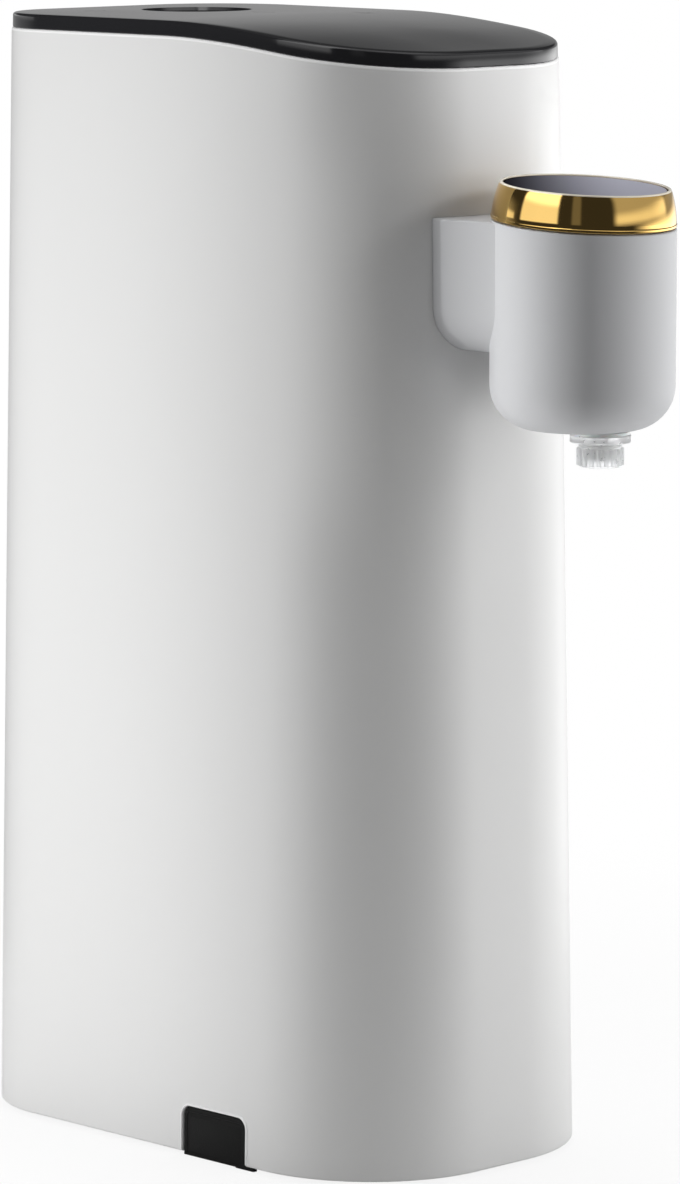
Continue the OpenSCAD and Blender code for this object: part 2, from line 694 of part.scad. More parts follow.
module heater_caps() color([0.85, 0.85, 0.83]) {
    lip_r = heater_r - heater_wall - seat_gap;
    translate([0, heater_y, heater_z]) difference() {
        union() {
            translate([0, 0, -cap_h]) cylinder(h = cap_h, r = heater_r + 1.5);
            translate([0, 0, -1]) cylinder(h = cap_lip + 1, r = lip_r);
            translate([0, 0, -cap_h - port_len]) cylinder(h = port_len + 1, r = barb_r);
        }
        translate([0, 0, -cap_h - port_len - past])
            cylinder(h = cap_h + port_len + cap_lip + 2 * past, r = port_bore);
    }
    translate([0, heater_y, heater_top]) difference() {
        union() {
            cylinder(h = cap_h, r = heater_r + 1.5);
            translate([0, 0, -cap_lip]) cylinder(h = cap_lip + 1, r = lip_r);
            translate([0, outlet_y - heater_y, cap_h - 1]) cylinder(h = port_len + 1, r = barb_r);
        }
        translate([0, outlet_y - heater_y, -cap_lip - past])
            cylinder(h = cap_h + port_len + cap_lip + 2 * past, r = port_bore);
        for (x = [-1, 1]) translate([x * element_x, 0, -cap_lip - past])
            cylinder(h = cap_h + cap_lip + 2 * past, r = element_r + seat_gap);
        translate([0, probe_y - heater_y, -cap_lip - past])
            cylinder(h = cap_h + cap_lip + 2 * past, r = 2.5 + seat_gap);
    }
}

module heating_element() color([0.5, 0.45, 0.4]) translate([0, heater_y, heater_z + 18]) {
    for (x = [-1, 1]) {
        translate([x * element_x, 0, -0.01]) cylinder(h = heater_len - 18 + cap_h + 6, r = element_r);
        translate([x * element_x - 0.4, -3, heater_len - 18 + cap_h + 5]) cube([0.8, 6, 8]);
    }
    rotate([-90, 0, 0]) rotate_extrude(angle = 180) translate([element_x, 0]) circle(element_r);
}

module heater_saddles() color([0.3, 0.3, 0.31])
    for (z = [heater_z + 8, heater_top - 20]) translate([0, heater_y, z]) difference() {
        union() {
            cylinder(h = 8, r = heater_r + 2);
            translate([-18, 0, 0]) cube([36, chassis_y - heater_y, 8]);
            translate([-26, chassis_y - heater_y - 3, 0]) cube([52, 3, 8]);
        }
        translate([0, 0, -past]) cylinder(h = 10, r = heater_r + seat_gap);
        translate([-15, heater_r + 3, -past]) cube([30, chassis_y - heater_y - heater_r - 5.5, 10]);
    }

module thermal_cutouts() color([0.12, 0.12, 0.12])
    for (z = [heater_z + 36, heater_z + 58]) translate([0, heater_y, z]) difference() {
        union() {
            translate([heater_r - 2, 0, 0]) rotate([0, 90, 0]) cylinder(h = 8, r = 8);
            translate([heater_r - 2, -12, -3]) cube([3.4, 24, 6]);
            for (y = [-4, 4]) translate([heater_r + 5, y - 2.4, -0.4]) cube([7, 4.8, 0.8]);
        }
        translate([0, 0, -12]) cylinder(h = 24, r = heater_r + seat_gap);
    }

module temp_probe() color([0.6, 0.6, 0.62]) translate([0, probe_y, heater_top - 8]) {
    cylinder(h = 9 + cap_h, r = 2.5);
    translate([0, 0, 8 + cap_h]) cylinder(h = 4, r = 4.6, $fn = 6);
}

module inlet_hose() color([0.86, 0.87, 0.88]) hose(inlet_route);
module pump_hose() color([0.86, 0.87, 0.88]) hose(pump_route);
module feed_hose() color([0.86, 0.87, 0.88]) hose(feed_route);
module outlet_hose() color([0.86, 0.87, 0.88]) hose(outlet_route);

module hose_clips() color([0.7, 0.7, 0.72])
    for (route = [inlet_route, pump_route, feed_route, outlet_route])
        for (end = [[0, 1], [len(route) - 1, len(route) - 2]]) {
            a = route[end[0]];
            b = route[end[1]];
            translate([a[0], a[1], (a[2] + b[2]) / 2 - 1.5]) {
                ring(hose_r + seat_gap, hose_r + 0.8, 3);
                translate([hose_r + 0.6, -1, 0]) cube([3, 2, 3]);
            }
        }

module signal_lead() color([0.15, 0.15, 0.15]) sweep(smooth_route(lead_route), lead_r, 8);

// ---- Tap ----

module head_profile(inset, top) {
    r = head_r - inset;
    f = head_fillet - inset;
    square([r - f, top]);
    translate([0, f]) square([r, top - f]);
    translate([r - f, f]) intersection() {
        circle(f);
        translate([0, -f]) square([f, f]);
    }
}

module tap_housing() color([0.8, 0.8, 0.8]) difference() {
    union() {
        translate([0, head_y, head_z]) rotate_extrude() head_profile(0, head_h + 4);
        arm_prism(head_y, arm_end, 0);
    }
    // everything above the leaning seat
    at_seat() translate([-head_r - past, -head_r - past, 0])
        cube([head_d + 2 * past, head_d + 2 * past, 20]);
    at_seat(-seat_depth) cylinder(h = 20, r = head_r - seat_wall);
    intersection() {
        translate([0, head_y, head_z + tap_wall]) rotate_extrude() head_profile(tap_wall, head_h);
        at_seat(-80) cylinder(h = 80 - seat_depth + 0.01, r = head_r);
    }
    difference() {
        arm_prism(head_y, arm_end + past, -tap_wall);
        for (s = [-1, 1], b = arm_boss) translate([s * b[0], arm_end, b[1]]) rotate([90, 0, 0])
            cylinder(h = 12, r = arm_boss_r);
        translate([0, head_y, arm_bottom - past]) cylinder(h = arm_h + 2 * past, r = head_r - tap_wall);
    }
    for (s = [-1, 1], b = arm_boss) translate([s * b[0], arm_end + past, b[1]]) rotate([90, 0, 0])
        cylinder(h = 12, r = screw_r + seat_gap);
    translate([0, nozzle_y, head_z - past]) cylinder(h = tap_wall + 2 * past, r = nozzle_stem_r + 0.1);
}

module tap_bracket() color([0.3, 0.3, 0.31]) difference() {
    intersection() {
        drafted(arm_bottom - bracket_margin, arm_top + bracket_margin, wall + seat_gap);
        translate([-bracket_w / 2, body_front, arm_bottom - bracket_margin])
            cube([bracket_w, arm_end + bracket_t - body_front, arm_h + 2 * bracket_margin]);
    }
    arm_prism(body_front - 20, arm_end, 0.12);
    translate([-13, arm_end - past, arm_bottom + 8]) cube([26, bracket_t + 2 * past, arm_h - 12]);
    for (s = [-1, 1], b = arm_boss) translate([s * b[0], arm_end + bracket_t + past, b[1]])
        rotate([90, 0, 0])
        cylinder(h = bracket_t + 2 * past, r = screw_r + 0.3);
}

module tap_screws() color([0.6, 0.6, 0.62])
    for (s = [-1, 1], b = arm_boss) translate([s * b[0], arm_end + bracket_t + 1.4, b[1]])
        rotate([90, 0, 0])
        screw(screw_r, screw_head, 1.4, 13);

module knob_base() color([0.9, 0.9, 0.9]) at_seat() difference() {
    union() {
        translate([0, 0, -seat_depth]) cylinder(h = base_disc_t, r = head_r - seat_wall - 0.1);
        translate([0, 0, -seat_depth]) cylinder(h = seat_depth + hub_top, r = hub_r);
    }
    translate([0, 0, knob_board_z]) cylinder(h = 20, r = hub_bore);
    translate([0, 0, clip_z]) ring(hub_r - 0.6, hub_r + past, clip_t);
    translate([7, 3, -seat_depth - past]) cylinder(h = 4, r = 2.4);
}

module knob_carrier() color([0.9, 0.9, 0.9]) at_seat() difference() {
    union() {
        translate([0, 0, carrier_web[0]])
            cylinder(h = carrier_web[1] - carrier_web[0], r = ring_bore - seat_gap);
        translate([0, 0, carrier_web[1] - 0.01])
            ring(ring_bore - 1.2, ring_bore - seat_gap, carrier_rim_top - carrier_web[1]);
        // code skirt with its slots
        difference() {
            translate([0, 0, -3.2]) ring(ring_bore - 1.2, ring_bore + 0.5, 3.2 + ring_foot);
            for (a = [0:15:345]) rotate([0, 0, a]) translate([ring_bore - 3, -1.2, -3.2 - past])
                cube([6, 2.4, 3 + past]);
        }
    }
    translate([0, 0, -5]) cylinder(h = 10, r = hub_r + run_gap);
}

module retaining_ring() color([0.6, 0.6, 0.62]) at_seat(clip_z) difference() {
    ring(hub_r - 0.55, hub_r + 2, clip_t);
    translate([0, -1.5, -past]) cube([hub_r + 4, 3, 3]);
}

module knob_ring() color([0.85, 0.65, 0.25]) at_seat(ring_foot) rotate_extrude($fn = 96) {
    rim = ring_bore + rim_t / 2;
    polygon([[ring_bore, 0], [head_r, 0], [head_r, 0.6], [head_r - 0.25, ring_h * 0.35],
        [head_r - ring_taper * 0.55, ring_h * 0.7], [ring_bore + rim_t, ring_h - rim_t / 2],
        [rim, ring_h - rim_t / 2], [ring_bore, ring_h - rim_t / 2]]);
    translate([rim, ring_h - rim_t / 2]) circle(rim_t / 2);
}

module touch_disc() color([0.2, 0.19, 0.22]) at_seat(disc_top - disc_t)
    cylinder(h = disc_t, r = disc_r, $fn = 96);

module disc_carrier() color([0.9, 0.9, 0.9]) at_seat() {
    translate([0, 0, plate_z]) cylinder(h = plate_t, r = disc_r - 0.25);
    translate([0, 0, guide_foot]) ring(guide_r - guide_wall, guide_r, plate_z - guide_foot + 0.01);
    translate([0, 0, pin_foot()]) cylinder(h = plate_z - pin_foot() + 0.01, r = 2);
}

function switch_top() = knob_board_z + knob_board_t + switch_h;
function pin_foot() = switch_top() + press_travel + 0.2;

module return_spring() color([0.7, 0.7, 0.72]) at_seat()
    coil(spring_r, spring_wire, knob_board_z + knob_board_t + seat_gap, plate_z - seat_gap, 3, 16);

module knob_board() color([0.1, 0.35, 0.18]) at_seat(knob_board_z)
    cylinder(h = knob_board_t, r = hub_bore - 0.4);

module press_switch() color([0.1, 0.1, 0.1]) at_seat(knob_board_z + knob_board_t) {
    translate([-switch_w / 2, -switch_w / 2, 0]) cube([switch_w, switch_w, switch_h - 0.8]);
    translate([0, 0, switch_h - 0.81]) cylinder(h = 0.81, r = 1.7);
}

module nozzle() color([0.85, 0.9, 0.92]) translate([0, nozzle_y, head_z]) difference() {
    union() {
        translate([0, 0, -nozzle_seal_t - nozzle_flange_t])
            cylinder(h = nozzle_flange_t, r = nozzle_r + 1.7);
        translate([0, 0, -nozzle_drop]) cylinder(h = nozzle_drop - 1, r = nozzle_r - 0.7);
        for (a = [0:20:340]) rotate([0, 0, a])
            translate([nozzle_r - 1.3, -0.5, -nozzle_drop + 0.6]) cube([1.3, 1, nozzle_drop - 3]);
        translate([0, 0, -nozzle_seal_t - 1]) cylinder(h = 11 + nozzle_seal_t, r = nozzle_stem_r);
        translate([0, 0, 9]) cylinder(h = nozzle_top - head_z - 9, r = barb_r);
    }
    translate([0, 0, -nozzle_drop - past]) cylinder(h = 40, r = port_bore);
    translate([0, 0, -nozzle_drop - past]) cylinder(h = 7 + past, r = mouth_r);
}

module nozzle_seal() color([0.8, 0.8, 0.8])
    translate([0, nozzle_y, head_z - nozzle_seal_t])
        ring(nozzle_stem_r + 0.1, nozzle_r + 1.4, nozzle_seal_t);

module nozzle_nut() color([0.8, 0.8, 0.8]) translate([0, nozzle_y, head_z + tap_wall]) difference() {
    cylinder(h = nut_h, r = 7, $fn = 6);
    translate([0, 0, -past]) cylinder(h = nut_h + 2 * past, r = nozzle_stem_r + seat_gap);
}

module flow_straightener() color([0.9, 0.9, 0.9]) translate([0, nozzle_y, head_z - nozzle_drop + 2])
    difference() {
    cylinder(h = 4, r = mouth_r - seat_gap);
    for (a = [0:60:300]) rotate([0, 0, a]) translate([2.7, 0, -past]) cylinder(h = 6, r = 0.9, $fn = 16);
    translate([0, 0, -past]) cylinder(h = 6, r = 0.9, $fn = 16);
}

outer_shell();
base_plate();
rubber_feet();
base_screws();
cord_gland();
lid_plate();
touch_board();
touch_pads();
socket_cup();
socket_seal();
strainer();
chassis();
frame_screws();
pump_mount();
pump_motor();
pump_head();
pump_rotor();
flow_meter();
flow_impeller();
heater_tube();
heater_caps();
heating_element();
heater_saddles();
thermal_cutouts();
temp_probe();
inlet_hose();
pump_hose();
feed_hose();
outlet_hose();
hose_clips();
power_board();
transformer();
relay();
heat_sink();
terminal_block();
board_screws();
signal_lead();
tap_housing();
tap_bracket();
tap_screws();
knob_base();
knob_carrier();
retaining_ring();
knob_ring();
touch_disc();
disc_carrier();
return_spring();
knob_board();
press_switch();
nozzle();
nozzle_seal();
nozzle_nut();
flow_straightener();
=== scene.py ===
from math import acos, atan2, cos, pi, radians, sin, tan

import bmesh
import bpy
from bpy.props import FloatProperty, FloatVectorProperty, IntProperty, PointerProperty
from mathutils import Matrix, Vector


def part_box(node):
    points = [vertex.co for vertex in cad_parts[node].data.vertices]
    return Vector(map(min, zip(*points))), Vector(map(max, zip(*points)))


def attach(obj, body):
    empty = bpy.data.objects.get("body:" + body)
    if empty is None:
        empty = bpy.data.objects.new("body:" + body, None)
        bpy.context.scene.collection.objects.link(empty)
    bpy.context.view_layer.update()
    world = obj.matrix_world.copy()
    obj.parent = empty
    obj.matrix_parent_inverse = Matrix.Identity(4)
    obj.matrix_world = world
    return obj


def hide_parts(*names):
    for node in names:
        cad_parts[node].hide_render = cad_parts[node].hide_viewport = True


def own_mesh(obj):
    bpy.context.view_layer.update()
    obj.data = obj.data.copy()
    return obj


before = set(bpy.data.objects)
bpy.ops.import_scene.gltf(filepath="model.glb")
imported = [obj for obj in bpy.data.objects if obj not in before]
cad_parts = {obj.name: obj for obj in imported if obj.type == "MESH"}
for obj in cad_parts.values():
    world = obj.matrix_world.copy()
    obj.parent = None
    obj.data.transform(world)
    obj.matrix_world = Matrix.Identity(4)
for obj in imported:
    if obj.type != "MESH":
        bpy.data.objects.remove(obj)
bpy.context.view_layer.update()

bl_info = {
    "name": "Hot water dispenser",
    "version": (1, 0, 0),
    "blender": (4, 5, 0),
    "location": "3D View > Sidebar > Dispenser",
    "description": "Builds the shell, lid, tap and finishes of a desktop hot water dispenser",
    "category": "Object",
}

MM = 0.001
RING_FOOT = 0.4 * MM  # the turning ring's gap above the head's seat


# ---- Sizes and colours that a user would change ----


def length(name, mm, description):
    return FloatProperty(
        name=name, description=description, default=mm * MM, precision=4,
        subtype="DISTANCE", unit="LENGTH",
    )


def angle(name, turn, description):
    return FloatProperty(
        name=name, description=description, default=radians(turn), subtype="ANGLE", unit="ROTATION"
    )


def share(name, value, description):
    return FloatProperty(
        name=name, description=description, default=value, min=0, max=1, subtype="FACTOR"
    )


def colour(name, rgb, description):
    return FloatVectorProperty(
        name=name, description=description, default=rgb, min=0, max=1, size=3, subtype="COLOR"
    )


def power(name, watts, description):
    return FloatProperty(name=name, description=description, default=watts, min=0, unit="POWER")


class BodySizes(bpy.types.PropertyGroup):
    height: length("Height", 310, "Height of the shell at the rear, from its lower edge to the lid")
    depth: length("Depth", 160, "Depth of the body at the lid")
    front_width: length("Front width", 94, "Width of the body at the lid, across the front")
    rear_width: length("Rear width", 97, "Width of the body at the lid, across the rear")
    front_radius: length("Front radius", 36.8, "Corner radius of the plan at the front")
    rear_radius: length("Rear radius", 27.5, "Corner radius of the plan at the rear")
    taper: share("Taper", 0.018, "Outward slope of the walls for each unit downwards")
    wall: length("Wall", 2.4, "Thickness of the shell")
    floor_gap: length("Floor gap", 1.2, "Gap between the floor and the shell")
    edge: length("Edge", 0.7, "Rounding of the shell's edges")


class LidSizes(bpy.types.PropertyGroup):
    thickness: length("Thickness", 4.6, "Thickness of the lid")
    fall: length("Fall", 9.3, "How far the lid's wave falls")
    wave_start: length("Wave start", 81.6, "Where the wave begins, behind the body's front")
    wave_length: length("Wave length", 118, "Length over which the wave falls")
    edge: length("Edge", 0.8, "Rounding of the lid's upper edge")
    crown: length("Crown", 0.5, "How far the top falls away towards its edge")
    crown_width: length("Crown width", 44, "Width of the band in which the top falls away")
    socket_inset: length("Socket inset", 41.4, "Socket axis in front of the body's rear")
    hole_radius: length("Hole radius", 14.9, "Radius of the hole over the socket")
    chamfer: length("Chamfer", 1, "Chamfer round the hole")


class TapSizes(bpy.types.PropertyGroup):
    head_diameter: length("Head diameter", 49.8, "Diameter of the tap head")
    reach: length("Reach", 33.6, "Head axis in front of the body's front at the lid")
    underside: length("Underside", 208.7, "Height of the head's underside above the floor")
    head_height: length("Head height", 55.2, "Height of the head at its axis, up to the ring's seat")
    fillet: length("Fillet", 12, "Radius of the fillet round the underside")
    lean: angle("Lean", 4, "Forward lean of the head's top face")
    wall: length("Wall", 2.4, "Thickness of the tap's moulding")
    arm_width: length("Arm width", 44.6, "Width of the arm")
    arm_height: length("Arm height", 36.2, "Height of the arm")
    arm_radius: length("Arm radius", 12, "Radius of the arm's two lower corners")
    ring_height: length("Ring height", 9.8, "Height of the turning ring")
    ring_taper: length("Ring taper", 1.8, "How far the ring narrows up to its rim")
    nozzle_offset: length("Nozzle offset", 6.7, "Nozzle axis in front of the head axis")
    nozzle_radius: length("Nozzle radius", 6.5, "Radius of the nozzle's ribbed body")
    nozzle_drop: length("Nozzle drop", 9.5, "Length of the nozzle below the head")
    nozzle_ribs: IntProperty(name="Nozzle ribs", description="Ribs round the nozzle", default=18, min=6)


class GlandSizes(bpy.types.PropertyGroup):
    behind: length("Behind", 19, "Gland's middle behind the axis of the front curve")
    width: length("Width", 25.3, "Width of the gland in the body's flank")
    top: length("Top", 14.5, "Height of the gland's top above the floor")
    corner: length("Corner", 3, "Radius of the gland's upper corners")


class Finishes(bpy.types.PropertyGroup):
    shell: colour("Shell", (0.80, 0.80, 0.795), "Satin white of the body")
    lid: colour("Lid", (0.018, 0.018, 0.02), "Polished black of the lid")
    tap: colour("Tap", (0.63, 0.635, 0.65), "Fine grained grey of the tap")
    gold: colour("Gold", (0.95, 0.62, 0.20), "Plating of the turning ring")
    # the disc's tone is the light end of a painted gradient: a painted reflection across the disc
    disc: colour("Disc", (0.37, 0.37, 0.43), "Smoke of the press disc")
    gland: colour("Gland", (0.005, 0.005, 0.005), "Black of the gland and feet")
    # painted shade: the dark end of the disc's painted gradient
    disc_shade: colour("Disc shade", (0.012, 0.011, 0.016), "The smoke at the disc's dark side")
    # the bead's tone, whiter than the shell's own white, is partly a painted highlight for the bright line
    # round the gland
    trim_highlight: colour("Trim", (0.93, 0.93, 0.93), "Gloss white of the rim round the gland")
    clear: colour("Clear", (0.97, 0.975, 0.98), "Clear plastic of the nozzle")


class StageSetup(bpy.types.PropertyGroup):
    lens: FloatProperty(
        name="Lens", description="Focal length of the camera, in millimetres", default=171.02,
        subtype="DISTANCE_CAMERA", unit="CAMERA",
    )
    azimuth: angle("Azimuth", -43.92, "Camera's turn about the dispenser")
    elevation: angle("Elevation", 8.369, "Camera's height angle")
    distance: length("Distance", 1568.76, "Camera's distance from the point it looks at")
    target: FloatVectorProperty(
        name="Target", description="Point that the camera looks at",
        default=(-0.00761, -0.00159, 0.15624), subtype="TRANSLATION", unit="LENGTH", precision=5,
    )
    rear_light: power("Rear light", 0.78, "Power of the lamp beside the rear of the left flank")
    front_light: power("Front light", 0.75, "Power of the lamp before the right of the front")
    head_light: power("Head light", 0.0125, "Power of the lamp to the left of the tap head")
    upper_light: power("Upper light", 0.0095, "Power of the lamp high before the right of the front")
    back_light: power("Back light", 2.5, "Power of the lamp behind the right flank")
    top_light: power("Top light", 7, "Power of the lamp above")
    ambient: share("Ambient", 0.14, "Plain light from all round")
    gloss: share("Room in gloss", 0.035, "Brightness of the room that polished pieces mirror")
    floor_veil: share("Floor veil", 0.12, "How far the white round the floor shows through it")
    floor_white: share("Floor white", 0.88, "The same, as the camera sees it")


class Dispenser(bpy.types.PropertyGroup):
    body: PointerProperty(name="Body", description="Sizes of the body", type=BodySizes)
    lid: PointerProperty(name="Lid", description="Sizes of the lid", type=LidSizes)
    tap: PointerProperty(name="Tap", description="Sizes of the tap", type=TapSizes)
    gland: PointerProperty(name="Gland", description="Sizes of the gland", type=GlandSizes)
    finish: PointerProperty(name="Finish", description="Colours of the pieces", type=Finishes)
    stage: PointerProperty(name="Stage", description="Camera and light", type=StageSetup)


# ---- Node trees written as formulas ----


class Nodes:
    """A node tree: node() adds any node to it and gives one of its outputs as a Wire."""

    def __init__(self, tree):
        self.tree = tree

    def node(self, kind, settings=None, *values, out=0, **named):
        """Adds a node: its settings first, then the values or links of its inputs by order or name."""
        made = self.tree.nodes.new(kind)
        for key, value in (settings or {}).items():
            setattr(made, key, value)
        for place, value in [*enumerate(values), *named.items()]:
            if value is None:
                continue
            if isinstance(place, str):
                title = place.replace("_", " ")
                inlet = next(s for s in made.inputs if s.name == title and s.enabled)
            else:
                inlet = made.inputs[place]
            self.feed(inlet, value)
        return Wire(self, made.outputs[out])

    def feed(self, inlet, value):
        if isinstance(value, Wire):
            self.tree.links.new(value.socket, inlet)
        else:
            inlet.default_value = value


def both(operation):
    """The two methods of Wire for one operation: for wire + x and for x + wire."""
    return (
        lambda wire, other: wire.sum(operation, wire, other),
        lambda wire, other: wire.sum(operation, other, wire),
    )


class Wire:
    """An output socket that takes part in sums, so that a mask or a height reads as a formula."""

    def __init__(self, nodes, socket):
        self.nodes, self.socket = nodes, socket

    def sum(self, operation, a, b=None):
        return self.nodes.node("ShaderNodeMath", {"operation": operation}, a, b)

    __add__, __radd__ = both("ADD")
    __sub__, __rsub__ = both("SUBTRACT")
    __mul__, __rmul__ = both("MULTIPLY")

    def __abs__(self):
        return self.sum("ABSOLUTE", self)

    def root(self):
        return self.sum("SQRT", self)

    def least(self, other):
        return self.sum("MINIMUM", self, other)

    def most(self, other):
        return self.sum("MAXIMUM", self, other)

    def fade(self, start, end):
        """A smooth step from 0 at start to 1 at end."""
        return self.nodes.node(
            "ShaderNodeMapRange", {"interpolation_type": "SMOOTHSTEP"}, self, start, end
        )


class Shape(Nodes):
    """A Geometry Nodes tree with named inputs, which ends in plain mesh with a material."""

    def __init__(self, name, **inputs):
        super().__init__(bpy.data.node_groups.new(name, "GeometryNodeTree"))
        face = self.tree.interface
        face.new_socket("Geometry", in_out="OUTPUT", socket_type="NodeSocketGeometry")
        for title, kind in {**inputs, "Material": "Material"}.items():
            face.new_socket(title.replace("_", " "), in_out="INPUT", socket_type="NodeSocket" + kind)
        entry = self.tree.nodes.new("NodeGroupInput")
        self.given = {s.name: Wire(self, s) for s in entry.outputs if s.name}

    def vector(self, x, y, z):
        return self.node("ShaderNodeCombineXYZ", None, x, y, z)

    def moved(self, geometry, **how):
        return self.node("GeometryNodeTransform", None, geometry, **how)

    def join(self, *parts):
        made = self.tree.nodes.new("GeometryNodeJoinGeometry")
        for part in parts:
            self.feed(made.inputs[0], part)
        return Wire(self, made.outputs[0])

    def done(self, geometry):
        real = self.node("GeometryNodeRealizeInstances", None, geometry)
        painted = self.node("GeometryNodeSetMaterial", None, real, Material=self.given["Material"])
        self.feed(self.tree.nodes.new("NodeGroupOutput").inputs[0], painted)
        return self

    def run(self, name, material, crease, **values):
        """Runs the tree with its inputs set, and keeps the result as a plain mesh."""
        piece = bpy.data.objects.new(name, bpy.data.meshes.new(name))
        bpy.context.scene.collection.objects.link(piece)
        step = piece.modifiers.new("make", "NODES")
        step.node_group = self.tree
        values["Material"] = material
        for item in self.tree.interface.items_tree:
            if item.in_out == "INPUT":
                step[item.identifier] = values[item.name.replace(" ", "_")]
        bake(piece)
        smooth(piece.data, crease)
        return piece


# ---- Finishes ----


class Finish(Nodes):
    """A material whose Principled shader is fed by formulas on the piece's own coordinates, in metres."""

    def __init__(self, name, tone, roughness, metallic=0.0, **fixed):
        self.material = bpy.data.materials.new(name)
        self.material.use_nodes = True
        super().__init__(self.material.node_tree)
        self.shader = self.tree.nodes["Principled BSDF"]
        self.tone, self.roughness = (*tone, 1), roughness
        self.set("Base Color", self.tone)
        self.set("Roughness", roughness)
        self.set("Metallic", metallic)
        for inlet, value in fixed.items():
            self.set(inlet.replace("_", " "), value)
        coordinates = self.tree.nodes.new("ShaderNodeTexCoord")
        self.here = Wire(self, coordinates.outputs["Object"])

    def set(self, name, value):
        self.feed(self.shader.inputs[name], value)
        return self

    def axis(self, index):
        return self.node("ShaderNodeSeparateXYZ", None, self.here, out=index)

    def noise(self, size, detail=2.0, stretch=(1, 1, 1)):
        """Noise from 0 to 1, with grains of about the given size in mm, drawn out by stretch."""
        place = self.node("ShaderNodeMapping", None, self.here, Scale=stretch)
        return self.node("ShaderNodeTexNoise", None, place, Scale=1 / (size * MM), Detail=detail)

    def mix(self, factor, a, b):
        """A colour from a to b by factor."""
        numbers = [None] * 5  # the node's inputs for numbers and vectors come before its colours
        return self.node("ShaderNodeMix", {"data_type": "RGBA"}, factor, *numbers, a, b, out=2)

    def shades(self, factor, spread):
        """The finish's own tone, a little darker to a little lighter by factor."""
        low = (*[c * (1 - spread) for c in self.tone[:3]], 1)
        high = (*[min(1, c * (1 + spread)) for c in self.tone[:3]], 1)
        return self.mix(factor, low, high)

    def vary(self, pattern, spread):
        """Lets the roughness follow a pattern, as far up as down."""
        return self.set("Roughness", self.roughness + (pattern - 0.5) * spread)

    def bump(self, height, depth):
        """Bumps of a depth in mm that follow a pattern."""
        bumps = self.node("ShaderNodeBump", None, Height=height, Distance=depth * MM, Strength=1.0)
        return self.set("Normal", bumps)


def moulded(name, tone, roughness, grain, depth, **fixed):
    """Moulded plastic: a grain of a size and depth in mm, and a slight drift in its gloss and tone."""
    finish = Finish(name, tone, roughness, **fixed)
    drift = finish.noise(28, 3)
    finish.set("Base Color", finish.shades(drift, 0.018)).vary(drift, 0.06)
    return finish.bump(finish.noise(grain, 3), depth)


def polish(finish, *marks):
    """Makes plastic almost a mirror, with faint polishing haze in patches and duller marks."""
    haze = finish.noise(16, 4)
    finish.set("Roughness", sum([haze * 0.05, *marks], finish.roughness))
    return finish.bump(finish.noise(9, 1), 0.004)


def polished(name, tone, roughness, **fixed):
    return polish(Finish(name, tone, roughness, **fixed))


def rubber(name, tone, roughness=0.62, **fixed):
    """Rubber: even and dull, with a pitted skin."""
    finish = Finish(name, tone, roughness, **fixed)
    skin = finish.noise(0.5, 4)
    finish.set("Base Color", finish.shades(finish.noise(6), 0.2)).vary(skin, 0.2)
    return finish.bump(skin, 0.03)


def drawn_metal(name, tone, roughness, stretch=(1, 1, 0.05)):
    """Metal with fine lines along the way it was drawn or turned."""
    finish = Finish(name, tone, roughness, 1.0)
    lines = finish.noise(0.4, 3, stretch)
    finish.set("Base Color", finish.shades(lines, 0.07)).vary(lines, 0.2)
    return finish.bump(lines, 0.004)


# ---- Meshes ----


def rounded(corners, steps=5, closed=False):
    """Line through corners (x, y, radius), with each corner rounded by its radius."""
    line = []
    last = len(corners) - 1
    for i, (x, y, radius) in enumerate(corners):
        corner = Vector((x, y))
        if radius <= 0 or (not closed and i in (0, last)):
            line.append((x, y))
            continue
        back = (Vector(corners[i - 1][:2]) - corner).normalized()
        ahead = (Vector(corners[(i + 1) % len(corners)][:2]) - corner).normalized()
        half = back.angle(ahead) / 2
        centre = corner + (back + ahead).normalized() * radius / sin(half)
        start = corner + back * radius / tan(half) - centre
        end = corner + ahead * radius / tan(half) - centre
        first = atan2(start.y, start.x)
        sweep = (atan2(end.y, end.x) - first + pi) % (2 * pi) - pi
        for step in range(steps + 1):
            turn = first + sweep * step / steps
            line.append((centre.x + radius * cos(turn), centre.y + radius * sin(turn)))
    return line


def quarter(radius, steps=5):
    """An edge's rounding as points (inset, rise), from the end where the inset is the whole radius."""
    turns = [radians(90 / steps * k) for k in range(steps + 1)]
    return [(radius * (1 - sin(turn)), radius * (1 - cos(turn))) for turn in turns]


def circle(sides):
    """Even turns round a circle."""
    return [2 * pi * k / sides for k in range(sides)]


